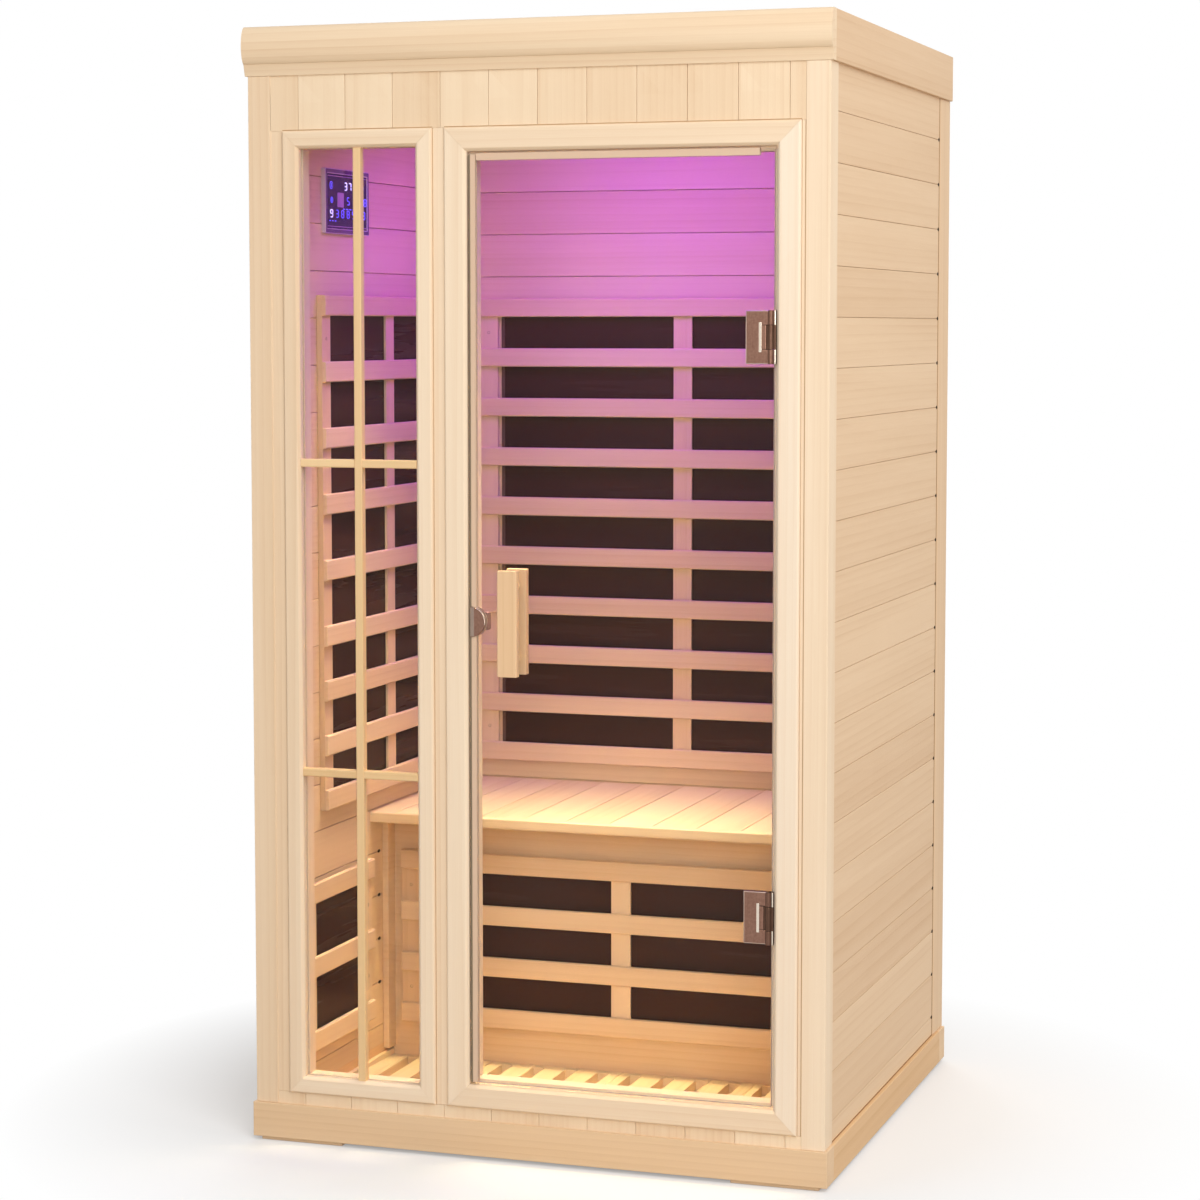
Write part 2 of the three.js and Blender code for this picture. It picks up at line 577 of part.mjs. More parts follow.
// Two half-round plates bolted together through the glass, flat side along its latch edge. They lie over the
// side seal, and a pad behind each of them meets the glass beside it.
function latchClip() {
  const plate = new THREE.Shape();
  plate.moveTo(DOOR_LEFT, HANDLE_HEIGHT - LATCH_LENGTH / 2);
  plate.absellipse(DOOR_LEFT, HANDLE_HEIGHT, LATCH_WIDTH, LATCH_LENGTH / 2, -Math.PI / 2, Math.PI / 2, false);
  plate.closePath();
  const front = DOOR_FRONT - SEAL_BUILD;
  const back = DOOR_BACK + SEAL_BUILD;
  const z = [HANDLE_HEIGHT - LATCH_LENGTH, HANDLE_HEIGHT + LATCH_LENGTH];
  const pad = (y) => cut(prism(plate, 'y', y), block([DOOR_LEFT - 1, SEAL_END], [y[0] - 1, y[1] + 1], z));
  return join(
    prism(plate, 'y', [front - LATCH_THICKNESS, front]),
    pad([front - 1, DOOR_FRONT]),
    prism(plate, 'y', [back, back + LATCH_THICKNESS]),
    pad([DOOR_BACK, back + 1]),
    bar(BOLT_RADIUS, 'y', LATCH_BOLT, [DOOR_FRONT - 1, DOOR_BACK + 1]),
  );
}

// Catch magnet on the door stop, just behind the latch clip.
function latchMagnet() {
  const x0 = DOORWAY_LEFT + DOOR_STOP_WIDTH;
  const y0 = DOOR_BACK + SEAL_BUILD + LATCH_THICKNESS + MAGNET_GAP;
  const z = [HANDLE_HEIGHT - MAGNET_LENGTH / 2, HANDLE_HEIGHT + MAGNET_LENGTH / 2];
  return prism(chamferedRectangle([x0, x0 + MAGNET_WIDTH], z, 2), 'y', [y0, y0 + MAGNET_DEPTH]);
}

// Leaf on the frame: jamb plate, middle knuckle and pin, drawn about the hinge axis.
function hingeFrameLeaf() {
  const half = HINGE_LENGTH / 2;
  const knuckle = [-HINGE_KNUCKLE_LENGTH / 2, HINGE_KNUCKLE_LENGTH / 2];
  const plateX = [HINGE_BARREL_RADIUS + HINGE_CLEARANCE, HINGE_AXIS_TO_FRAME];
  const plateBack = DOOR_STOP_SETBACK - HINGE_Y - HINGE_STOP_GAP;
  return join(
    block(plateX, [-HINGE_JAMB_PROUD, plateBack], [-half, half]),
    block([0, plateX[0] + 1], [-HINGE_JAMB_PROUD, HINGE_PLATE_THICKNESS], knuckle),
    bar(HINGE_BARREL_RADIUS, 'z', [0, 0], knuckle),
    bar(HINGE_PIN_RADIUS, 'z', [0, 0], [-half, half]),
  );
}

// Leaf on the door: clamp plates on both faces of the glass, with a knuckle above and below the notch.
function hingeDoorLeaf() {
  const half = HINGE_LENGTH / 2;
  const glassFront = HINGE_AXIS_TO_GLASS;
  const glassBack = glassFront + DOOR_GLASS_THICKNESS;
  const notchHalf = HINGE_KNUCKLE_LENGTH / 2 + HINGE_CLEARANCE;
  const front = [glassFront - HINGE_PLATE_THICKNESS, glassFront];
  const back = [glassBack, glassBack + HINGE_PLATE_THICKNESS];
  const notchX = [-HINGE_NOTCH_DEPTH, HINGE_BARREL_RADIUS + 1];
  const notch = block(notchX, [-half, glassFront + 1], [-notchHalf, notchHalf]);
  const bolts = [-1, 1].map((end) => {
    const centre = [-HINGE_PLATE_WIDTH / 2, (end * HINGE_BOLT_SPACING) / 2];
    return bar(BOLT_RADIUS, 'y', centre, [front[1] - 1, back[0] + 1]);
  });
  const knuckles = cut(
    join(
      block([-HINGE_PLATE_WIDTH, 0], front, [-half, half]),
      bar(HINGE_BARREL_RADIUS, 'z', [0, 0], [-half, half]),
    ),
    bar(HINGE_PIN_RADIUS + HINGE_CLEARANCE, 'z', [0, 0], [-half - 1, half + 1]),
    notch,
  );
  const backPlate = block([-HINGE_PLATE_WIDTH, -HINGE_BARREL_RADIUS], back, [-half, half]);
  return join(knuckles, backPlate, ...bolts);
}

function hinges(leaf, finish, suffix) {
  return HINGE_HEIGHTS.map((height, index) => {
    const hinge = piece(`hinge_${index === 0 ? 'lower' : 'upper'}_${suffix}`, finish, leaf());
    hinge.position.set(HINGE_X, HINGE_Y, height);
    return hinge;
  });
}

function door() {
  const seal = sealSection();
  const topSealX = [SEAL_END, DOOR_RIGHT - TOP_SEAL_STOP];
  const sideSeal = prism(seal.map(([inward, y]) => [DOOR_LEFT + inward, y]), 'z', [DOOR_BOTTOM, DOOR_TOP]);
  const topSeal = prism(seal.map(([inward, y]) => [y, DOOR_TOP - inward]), 'x', topSealX);
  return assembly(
    piece('door_glass', GLASS, doorGlass()),
    piece('door_side_seal', SEAL, sideSeal),
    piece('door_top_seal', SEAL, topSeal),
    piece('latch_clip', BRONZE, latchClip()),
    ...handle(),
    ...hinges(hingeDoorLeaf, BRONZE, 'door_leaf'),
  );
}

function doorway() {
  return assembly(
    ...doorFrame(),
    piece('latch_magnet', STEEL, latchMagnet()),
    ...hinges(hingeFrameLeaf, BRONZE, 'frame_leaf'),
  );
}

// Front crown: flat back, a narrow band that leans out from the posts, and above it a cushion
// that springs from a small quirk and swells past the band.
function frontCrown() {
  const bandTop = WALL_TOP + CROWN_BAND_HEIGHT;
  const rise = (CABIN_HEIGHT - bandTop) / (1 + Math.cos(CROWN_SPRING));
  const middle = CABIN_HEIGHT - rise;
  const spring = -CROWN_LIP - CROWN_BULGE * Math.sin(CROWN_SPRING);
  const from = -Math.PI / 2 - CROWN_SPRING;
  const section = new THREE.Shape();
  section.moveTo(CROWN_BACK, WALL_TOP);
  section.lineTo(-CROWN_FOOT, WALL_TOP);
  section.lineTo(spring + CROWN_QUIRK, bandTop);
  section.lineTo(spring, bandTop);
  section.absellipse(-CROWN_LIP, middle, CROWN_BULGE, rise, from, Math.PI / 2, true);
  section.lineTo(CROWN_BACK, CABIN_HEIGHT);
  section.closePath();
  return prism(section, 'x', [-TRIM_X, TRIM_X]);
}

function roof() {
  const innerX = TRIM_X - CROWN_SIDE_THICKNESS;
  const y = [CROWN_BACK, CABIN_DEPTH];
  const sideCrowns = SIDES.map(([name, side]) => {
    const board = block(sideSpan(side, innerX, TRIM_X), y, [WALL_TOP, CABIN_HEIGHT]);
    return piece(`crown_${name}`, WOOD, board);
  });
  const section = boardedSection([-innerX, innerX], 0, BOARD_PITCH, BOARD_THICKNESS);
  const ceiling = prism(section.map(([x, d]) => [x, WALL_TOP + d]), 'y', y);
  const lidTop = CABIN_HEIGHT - LID_RECESS;
  const lidBottom = lidTop - LID_THICKNESS;
  const lid = join(
    block([-innerX, innerX], y, [lidBottom, lidTop]),
    block([-innerX, innerX], [CABIN_DEPTH - LID_FLANGE_DEPTH, CABIN_DEPTH], [CEILING_TOP, lidTop]),
  );
  return assembly(
    piece('crown_front', WOOD_PALE, frontCrown()),
    ...sideCrowns,
    piece('ceiling_panel', WOOD, ceiling),
    piece('roof_lid', WOOD, lid),
  );
}

// Plank seat with a rounded front edge and V joints between its front-to-back boards.
function seat() {
  const radius = SEAT_THICKNESS / 2;
  const middle = SEAT_HEIGHT - radius;
  const section = new THREE.Shape();
  section.moveTo(ROOM_BACK, SEAT_HEIGHT - SEAT_THICKNESS);
  section.absarc(SEAT_FRONT + radius, middle, radius, -Math.PI / 2, Math.PI / 2, true);
  section.lineTo(ROOM_BACK, SEAT_HEIGHT);
  section.closePath();
  const grooves = jointPlaces([-ROOM_X, ROOM_X], 0, BOARD_PITCH).map((x) => {
    const above = SEAT_HEIGHT + GROOVE_DEPTH;
    const outline = [[x - GROOVE_WIDTH, above], [x, SEAT_HEIGHT - GROOVE_DEPTH], [x + GROOVE_WIDTH, above]];
    return prism(outline, 'y', [SEAT_FRONT - 1, ROOM_BACK + 1]);
  });
  return cut(prism(section, 'x', [-ROOM_X, ROOM_X]), ...grooves);
}

// Upright panel under the seat, with a batten down each end against the side lining, over the floor strip.
function benchPanel() {
  const seatUnderside = SEAT_HEIGHT - SEAT_THICKNESS;
  const foot = FLOOR_TOP + EDGE_STRIP_HEIGHT + BENCH_BATTEN_FOOT;
  const y = [BENCH_FRONT, BENCH_FRONT + BENCH_PANEL_THICKNESS];
  const battens = SIDES.map(([, side]) => {
    const x = sideSpan(side, ROOM_X - BENCH_BATTEN_THICKNESS, ROOM_X);
    return block(x, [BENCH_FRONT - BENCH_BATTEN_WIDTH, y[1]], [foot, seatUnderside]);
  });
  return join(block([-ROOM_X, ROOM_X], y, [DECK_TOP, seatUnderside]), ...battens);
}

function bench() {
  return assembly(
    piece('bench_seat', WOOD_PALE, seat()),
    piece('bench_front_panel', WOOD, benchPanel()),
  );
}

// A guard's openings are given by their heights, from the top slat down.
const rows = (count, height) => Array(count).fill(height);

function guardHeight(openings) {
  return openings.reduce((height, opening) => height + opening + SLAT_HEIGHT, SLAT_HEIGHT);
}

// Equal openings that share what the slats and any lower openings leave of a guard's height.
function sharedRows(count, height, lower = []) {
  const taken = guardHeight(lower) + count * SLAT_HEIGHT;
  return [...rows(count, (height - taken) / count), ...lower];
}

// Slatted guard on a wall at y = 0, facing -Y and standing on z = 0: end stiles on the wall, shallower
// stiles in front of the heater, and slats lapped over all of them.
function guard(width, openings, middleStiles) {
  const height = guardHeight(openings);
  const stile = (centre, back) => {
    const x = [centre - STILE_WIDTH / 2, centre + STILE_WIDTH / 2];
    return block(x, [-STILE_THICKNESS, back], [0, height]);
  };
  const ends = [-1, 1].map((side) => stile((side * (width - STILE_WIDTH)) / 2, 0));
  const clearOfHeater = -HEATER_THICKNESS - HEATER_FRONT_GAP;
  const middles = middleStiles.map((centre) => stile(centre, clearOfHeater));
  const tops = openings.reduce((list, opening) => [...list, list.at(-1) - SLAT_HEIGHT - opening], [height]);
  const back = SLAT_LAP - STILE_THICKNESS;
  const front = back - SLAT_THICKNESS;
  const slats = tops.map((top) => {
    const bottom = top - SLAT_HEIGHT;
    const section = [
      [back, bottom], [front + SLAT_EDGE, bottom], [front, bottom + SLAT_EDGE],
      [front, top - SLAT_EDGE], [front + SLAT_EDGE, top], [back, top],
    ];
    return prism(section, 'x', [-width / 2, width / 2]);
  });
  return join(...ends, ...middles, ...slats);
}

// Guard and heater as one set, fixed at a point of a wall and turned to face away from it.
function heaterSet(name, { width, openings, middleStiles, at, turn }) {
  const heaterX = width / 2 - STILE_WIDTH - HEATER_EDGE_GAP;
  const heaterZ = [HEATER_EDGE_GAP, guardHeight(openings) - HEATER_EDGE_GAP];
  const set = assembly(
    piece(`${name}_heater`, HEATER, block([-heaterX, heaterX], [-HEATER_THICKNESS, 0], heaterZ)),
    piece(`${name}_guard`, WOOD, guard(width, openings, middleStiles)),
  );
  set.position.set(...at);
  set.rotation.z = turn;
  return set;
}

function heaters() {
  const wallSets = SEAT_HEIGHT + WALL_GUARD_LIFT;
  const wallHeight = WALL_TOP - WALL_GUARD_FROM_CEILING - wallSets;
  const sideY = [ROOM_FRONT + SIDE_GUARD_FROM_FRONT, ROOM_BACK - SIDE_GUARD_FROM_BACK];
  const legSet = FLOOR_TOP + LEG_GUARD_LIFT;
  const legHeight = SEAT_HEIGHT - SEAT_THICKNESS - LEG_GUARD_FROM_SEAT - legSet;
  const calfY = [
    ROOM_FRONT + CALF_GUARD_FROM_FRONT,
    BENCH_FRONT - BENCH_BATTEN_WIDTH - CALF_GUARD_FROM_BENCH,
  ];
  const sideSets = SIDES.map(([name, side]) => heaterSet(name, {
    width: sideY[1] - sideY[0],
    openings: sharedRows(SIDE_UPPER_COUNT, wallHeight, rows(SIDE_LOWER_COUNT, SIDE_LOWER_HEIGHT)),
    middleStiles: [0],
    at: [side * ROOM_X, (sideY[0] + sideY[1]) / 2, wallSets],
    turn: (-side * Math.PI) / 2,
  }));
  return assembly(
    heaterSet('back', {
      width: 2 * (ROOM_X - BACK_GUARD_SIDE_MARGIN),
      openings: sharedRows(BACK_OPENING_COUNT, wallHeight),
      middleStiles: [0],
      at: [0, ROOM_BACK, wallSets],
      turn: 0,
    }),
    ...sideSets,
    heaterSet('leg', {
      width: 2 * (ROOM_X - LEG_GUARD_SIDE_MARGIN),
      openings: sharedRows(LEG_OPENING_COUNT, legHeight),
      middleStiles: [0],
      at: [0, BENCH_FRONT, legSet],
      turn: 0,
    }),
    heaterSet('calf', {
      width: calfY[1] - calfY[0],
      openings: rows(CALF_OPENING_COUNT, CALF_OPENING_HEIGHT),
      middleStiles: [],
      at: [-ROOM_X, (calfY[0] + calfY[1]) / 2, FLOOR_TOP + CALF_GUARD_LIFT],
      turn: Math.PI / 2,
    }),
  );
}

// Touch-key panel on the left lining, with a raised rim round its flat display.
function controlPanel() {
  const y = [ROOM_FRONT + CONTROL_FROM_FRONT, ROOM_FRONT + CONTROL_FROM_FRONT + CONTROL_WIDTH];
  const middle = WALL_TOP - CONTROL_FROM_CEILING;
  const z = [middle - CONTROL_LENGTH / 2, middle + CONTROL_LENGTH / 2];
  const face = -ROOM_X + CONTROL_THICKNESS;
  const body = prism(chamferedRectangle(y, z, CONTROL_EDGE), 'x', [-ROOM_X, face]);
  const window = block(
    [face - CONTROL_RECESS, face + 1],
    [y[0] + CONTROL_RIM, y[1] - CONTROL_RIM],
    [z[0] + CONTROL_RIM, z[1] - CONTROL_RIM],
  );
  return cut(body, window);
}

// Shallow round ceiling lamp with a rounded rim.
function ceilingLight() {
  const rim = LIGHT_THICKNESS / 2;
  const profile = new THREE.Path();
  profile.moveTo(0, -LIGHT_THICKNESS);
  profile.lineTo(LIGHT_RADIUS - rim, -LIGHT_THICKNESS);
  profile.absarc(LIGHT_RADIUS - rim, -rim, rim, -Math.PI / 2, 0, false);
  profile.lineTo(LIGHT_RADIUS, 0);
  profile.lineTo(0, 0);
  const lamp = new THREE.LatheGeometry(profile.getPoints(3), 3 * ROUND_SEGMENTS).rotateX(Math.PI / 2);
  return toGeometry(toSolid(lamp.translate(LIGHT_FROM_CENTRE, ROOM_BACK - LIGHT_FROM_BACK, WALL_TOP)));
}

// Closed box in the roof space that feeds the heaters and the lamp.
function powerUnit() {
  const x = [-POWER_UNIT_WIDTH / 2, POWER_UNIT_WIDTH / 2];
  const y = ROOM_BACK - POWER_UNIT_FROM_BACK;
  const outline = chamferedRectangle(x, [y, y + POWER_UNIT_LENGTH], POWER_UNIT_EDGE);
  return prism(outline, 'z', [CEILING_TOP, CEILING_TOP + POWER_UNIT_HEIGHT]);
}

function fittings() {
  return assembly(
    piece('control_panel', DARK_PLASTIC, controlPanel()),
    piece('ceiling_light', LAMP, ceilingLight()),
    piece('power_unit', STEEL, powerUnit()),
  );
}

const cabin = assembly(
  base(),
  assembly(...SIDES.flatMap(([name, side]) => sideWall(name, side)), ...backWall()),
  frontWall(),
  windowUnit(),
  doorway(),
  door(),
  roof(),
  bench(),
  heaters(),
  fittings(),
);

// The origin lies on the ground, midway between the handle's grip and the back of the cabin.
cabin.position.y = -(FRONT_LIMIT + CABIN_DEPTH) / 2;

export default cabin;
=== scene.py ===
"""Infrared sauna cabin: timber, glass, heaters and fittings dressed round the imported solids."""

import itertools
import logging
import math
from collections.abc import Callable, Iterable, Sequence
from dataclasses import dataclass, field
from enum import Enum
from functools import cache
from typing import Any

import bmesh
import bpy
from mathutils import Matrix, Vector


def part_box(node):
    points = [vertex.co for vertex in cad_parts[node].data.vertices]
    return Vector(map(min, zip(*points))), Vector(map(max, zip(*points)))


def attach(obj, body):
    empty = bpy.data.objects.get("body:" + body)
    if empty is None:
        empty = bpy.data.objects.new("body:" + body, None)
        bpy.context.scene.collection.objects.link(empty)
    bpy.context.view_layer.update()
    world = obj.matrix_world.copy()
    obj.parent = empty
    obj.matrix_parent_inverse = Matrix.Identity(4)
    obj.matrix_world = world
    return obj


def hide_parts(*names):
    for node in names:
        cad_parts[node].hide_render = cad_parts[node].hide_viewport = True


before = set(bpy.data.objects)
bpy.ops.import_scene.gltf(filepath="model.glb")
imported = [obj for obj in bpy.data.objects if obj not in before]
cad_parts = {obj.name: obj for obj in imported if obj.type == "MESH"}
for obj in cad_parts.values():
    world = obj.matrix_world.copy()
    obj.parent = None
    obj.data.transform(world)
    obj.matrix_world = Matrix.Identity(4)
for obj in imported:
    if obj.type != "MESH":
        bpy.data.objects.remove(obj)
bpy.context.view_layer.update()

Colour = tuple[float, float, float]
Point = Sequence[float]
Span = tuple[float, float]
Test = Callable[[Any], bool]

SMOOTH_ANGLE = math.radians(32)
SHARP_ANGLE = math.radians(25)
FLAT_ANGLE = math.radians(0.5)
MERGE = 1e-6
NEAR = 2e-5
BOARD_STEP = 0.37

log = logging.getLogger("cabin")
board_numbers = itertools.count(1)


class Axis(Enum):
    """Axis of the shared frame: X to the right, Y from the door to the back, Z up."""

    X = 0
    Y = 1
    Z = 2


class Body(Enum):
    """Rigid body that a piece rides on."""

    CABIN = "cabin"
    DOOR = "door"


class Slot(Enum):
    """Material slot of the record, named for each piece."""

    WOOD = "wood"
    WOOD_PALE = "wood_pale"
    WOOD_WARM = "wood_warm"
    SEAL = "seal"
    BRONZE = "bronze"
    STEEL = "steel"
    HEATER = "heater"
    CONTROL = "control"
    LAMP = "lamp"


class Facing(Enum):
    """Way that a piece built to face -Y is turned about the vertical when it is hung on a wall."""

    FRONT = 0.0
    RIGHT = math.pi / 2
    LEFT = -math.pi / 2


class Tone(Enum):
    """Colours that the grain of a timber runs between, pale and deep."""

    FRONT = ((0.94, 0.785, 0.605), (0.72, 0.49, 0.285))
    # Paler copy of FRONT on the door's right jamb: a painted sheen of the light from the right.
    PALE = ((0.97, 0.86, 0.72), (0.82, 0.62, 0.43))
    # Darker copy of FRONT on the left post: painted shade, as the light falls from the right.
    POST = ((0.93, 0.765, 0.575), (0.70, 0.465, 0.265))
    PANEL = ((0.91, 0.74, 0.54), (0.68, 0.44, 0.245))
    WALL = ((0.84, 0.63, 0.425), (0.62, 0.39, 0.215))
    LINING = ((0.83, 0.64, 0.42), (0.62, 0.40, 0.21))
    SKIRT = ((0.89, 0.67, 0.45), (0.66, 0.43, 0.235))
    PLINTH = ((0.85, 0.59, 0.34), (0.60, 0.35, 0.16))
    BAR = ((0.90, 0.66, 0.38), (0.70, 0.44, 0.20))
    GRIP = ((0.865, 0.61, 0.38), (0.66, 0.41, 0.21))
    BENCH = ((0.86, 0.69, 0.46), (0.64, 0.42, 0.21))


# Shader maths


def operation(kind: str, swapped: bool = False) -> Callable[..., "Socket"]:
    """Method of a socket that adds one Math node.

    Args:
        kind: Blender's name of the operation.
        swapped: whether the socket is the second of the two values.

    Returns:
        The method.
    """

    def method(self: "Socket", other: Any = 0.0) -> "Socket":
        """The result of the node."""
        values = (other, self) if swapped else (self, other)
        return self.shader.node("ShaderNodeMath", {"operation": kind}, dict(enumerate(values)))

    return method


class Socket:
    """A shader socket for use in Python sums, each of which adds a Math node."""

    def __init__(self, shader: "Shader", socket: bpy.types.NodeSocket) -> None:
        """Keeps the socket with the shader it belongs to."""
        self.shader = shader
        self.socket = socket

    __add__ = __radd__ = operation("ADD")
    __sub__ = operation("SUBTRACT")
    __rsub__ = operation("SUBTRACT", swapped=True)
    __mul__ = __rmul__ = operation("MULTIPLY")
    __truediv__ = operation("DIVIDE")
    __rtruediv__ = operation("DIVIDE", swapped=True)
    __pow__ = operation("POWER")
    __rpow__ = operation("POWER", swapped=True)
    __abs__ = operation("ABSOLUTE")
    floor = operation("FLOOR")
    upto = operation("MINIMUM")
    atleast = operation("MAXIMUM")

    def within(self, bottom: float = 0.0, top: float = 1.0) -> "Socket":
        """This value, kept between two others."""
        return self.atleast(bottom).upto(top)

    def also(self, output: str | int) -> "Socket":
        """Another output of the same node."""
        return Socket(self.shader, self.socket.node.outputs[output])


class Shader:
    """The node tree of a material or a world, with one method that adds nodes to it."""

    def __init__(self, owner: bpy.types.Material | bpy.types.World) -> None:
        """Empties the tree of a new material or world."""
        owner.use_nodes = True
        self.owner = owner
        self.tree = owner.node_tree
        self.tree.nodes.clear()

    @classmethod
    def named(cls, label: str) -> "Shader":
        """The empty shader of a new material."""
        return cls(bpy.data.materials.new(label))

    def node(
        self,
        kind: str,
        settings: dict[str, Any] | None = None,
        inputs: dict[str | int, Any] | None = None,
        output: str | int = 0,
    ) -> Socket:
        """Adds a node.

        Args:
            kind: Blender's name of the node type.
            settings: properties of the node, set before its sockets.
            inputs: values or sockets for the node's inputs, by name or number.
            output: name or number of the output that is wanted.

        Returns:
            The wanted output.
        """
        node = self.tree.nodes.new(kind)
        for name, setting in (settings or {}).items():
            setattr(node, name, setting)
        for name, value in (inputs or {}).items():
            if isinstance(value, Socket):
                self.tree.links.new(value.socket, node.inputs[name])
            else:
                node.inputs[name].default_value = value
        return Socket(self, node.outputs[output])

    def place(self) -> Socket:
        """Object coordinates."""
        return self.node("ShaderNodeTexCoord", output="Object")

    def seen(self) -> Socket:
        """1 for what is seen directly, in a reflection or through glass, and 0 for other light."""
        ray = self.node("ShaderNodeLightPath", output="Is Camera Ray")
        return (ray + ray.also("Is Glossy Ray") + ray.also("Is Transmission Ray")).upto(1.0)

    def vector(self, kind: str, *parts: Any) -> Socket:
        """The result of one Vector Math node."""
        return self.node("ShaderNodeVectorMath", {"operation": kind}, dict(enumerate(parts)))

    def noise(self, place: Socket, scale: Point, detail: float) -> Socket:
        """Noise of about 0 to 1.

        Args:
            place: object coordinates.
            scale: scale for each axis.
            detail: number of finer layers.

        Returns:
            The noise.
        """
        stretched = self.vector("MULTIPLY", place, scale)
        inputs = {"Vector": stretched, "Scale": 1.0, "Detail": detail, "Roughness": 0.6}
        return self.node("ShaderNodeTexNoise", {}, inputs)

    def mix(self, share: Socket, first: Colour, second: Colour) -> Socket:
        """Mix of two colours."""
        colours = {0: share, 6: (*first, 1.0), 7: (*second, 1.0)}
        return self.node("ShaderNodeMix", {"data_type": "RGBA"}, colours, 2)

    def bump(self, height: Socket, strength: float, distance: float) -> Socket:
        """Normal raised by a height."""
        inputs = {"Height": height, "Strength": strength, "Distance": distance}
        return self.node("ShaderNodeBump", {}, inputs)

    def surface(self, inputs: dict[str, Any]) -> bpy.types.Material:
        """Ends the tree with one principled surface."""
        return self.end(self.node("ShaderNodeBsdfPrincipled", {}, inputs))

    def end(self, surface: Socket) -> bpy.types.Material | bpy.types.World:
        """Ends the tree.

        Args:
            surface: shader that the tree ends with.

        Returns:
            The material or world that the tree belongs to.
        """
        kind = "World" if isinstance(self.owner, bpy.types.World) else "Material"
        output = self.tree.nodes.new(f"ShaderNodeOutput{kind}")
        self.tree.links.new(surface.socket, output.inputs["Surface"])
        return self.owner


# Finishes


@dataclass(frozen=True)
class Boards:
    """Boards side by side along an axis: their pitch and the place of one joint."""

    axis: Axis
    pitch: float
    joint: float


@dataclass(frozen=True)
class Timber:
    """Planed softwood with growth rings about its grain, its tone changing from board to board."""

    tone: Tone
    grain: Axis
    boards: Boards | None = None

    RINGS = {
        "Scale": 26.0,
        "Distortion": 9.0,
        "Detail": 2.0,
        "Detail Scale": 0.35,
        "Detail Roughness": 0.55,
    }
    RING_SCALE = (1.0, 0.035)
    STREAK_SCALE = (21.0, 0.7)
    FIBRE_SCALE = (620.0, 9.0)
    DETAIL = 2.0
    BOARD_SHIFT = (0.9, 0.8, 0.7)
    LATE_SHADE = 0.32
    STREAK_SHADE = 0.65
    FIBRE_SHADE = 0.26
    BOARD_SHADE = 0.36
    ROUGHNESS = 0.5
    GLOSS = 0.2
    RELIEF = 0.0006

    def drawn(self, across: float, along: float) -> Point:
        """Scale for each axis, with the grain drawn out."""
        return tuple(along if axis is self.grain else across for axis in Axis)

    def board(self, shader: Shader, place: Socket) -> Socket:
        """Number that differs from board to board.

        Args:
            shader: shader being written.
            place: object coordinates.

        Returns:
            The number, counted from the joints or read from the piece's own attribute.
        """
        if self.boards is None:
            return shader.node("ShaderNodeAttribute", {"attribute_name": "board"}, output="Fac")
        along = shader.node("ShaderNodeSeparateXYZ", {}, {0: place}, self.boards.axis.name)
        return ((along - self.boards.joint) / self.boards.pitch).floor()

    @cache
    def material(self) -> bpy.types.Material:
        """The finish as a material.

        Returns:
            The material, made once.
        """
        laid = f"_{self.boards.axis.name}" if self.boards else ""
        shader = Shader.named(f"timber_{self.tone.name}_{self.grain.name}{laid}".lower())
        place = shader.place()
        number = self.board(shader, place)
        chance = shader.node("ShaderNodeTexWhiteNoise", {"noise_dimensions": "1D"}, {"W": number})
        sawn = shader.vector("MULTIPLY_ADD", chance.also("Color"), self.BOARD_SHIFT, place)
        ring = shader.node(
            "ShaderNodeTexWave",
            {"wave_type": "RINGS", "rings_direction": self.grain.name, "wave_profile": "SAW"},
            {"Vector": shader.vector("MULTIPLY", sawn, self.drawn(*self.RING_SCALE)), **self.RINGS},
            "Fac",
        )
        streak = shader.noise(sawn, self.drawn(*self.STREAK_SCALE), self.DETAIL)
        fibre = shader.noise(sawn, self.drawn(*self.FIBRE_SCALE), self.DETAIL)
        late = ring**3.0 * (streak * 1.6 - 0.35).atleast(0.0)
        shade = (
            late * self.LATE_SHADE
            + (streak - 0.5) * self.STREAK_SHADE
            + (fibre - 0.5) * self.FIBRE_SHADE
            + chance.also("Value") * self.BOARD_SHADE
        )
        return shader.surface(
            {
                "Base Color": shader.mix(shade.within(), *self.tone.value),
                "Roughness": self.ROUGHNESS + late * 0.12 + (fibre - 0.5) * 0.15,
                "Specular IOR Level": self.GLOSS,
                "Normal": shader.bump(late + fibre * 0.8, 0.16, self.RELIEF),
            }
        )


@dataclass(frozen=True)
class ClearGlass:
    """Clear pane, thin along Y, whose polished edges have the timber they reflect painted into their
    colour.
    """

    face: Colour = (0.20, 0.24, 0.22)
    # Colour of the timber seen in the edges, painted as a reflection.
    edge: Colour = (0.54, 0.42, 0.37)
    smear: Point = (9.0, 9.0, 4.0)
    ior: float = 1.5
    most: float = 0.9

    @cache
    def material(self) -> bpy.types.Material:
        """The finish as a material.

        Returns:
            The material, made once.
        """
        shader = Shader.named("clear_glass")
        normal = shader.node("ShaderNodeTexCoord", output="Normal")
        edge = 1.0 - abs(shader.node("ShaderNodeSeparateXYZ", {}, {0: normal}, "Y"))
        gloss = shader.node("ShaderNodeFresnel", {}, {"IOR": self.ior})
        smear = shader.noise(shader.place(), self.smear, 2.0)
        return shader.surface(
            {
                # The edges' colour is painted reflection of the timber round the pane.
                "Base Color": shader.mix(edge, self.face, self.edge),
                "Roughness": 0.02 + smear * 0.05,
                "Alpha": (0.008 + gloss * 0.4 + edge * 0.6).upto(self.most),
                "IOR": self.ior,
            }
        )


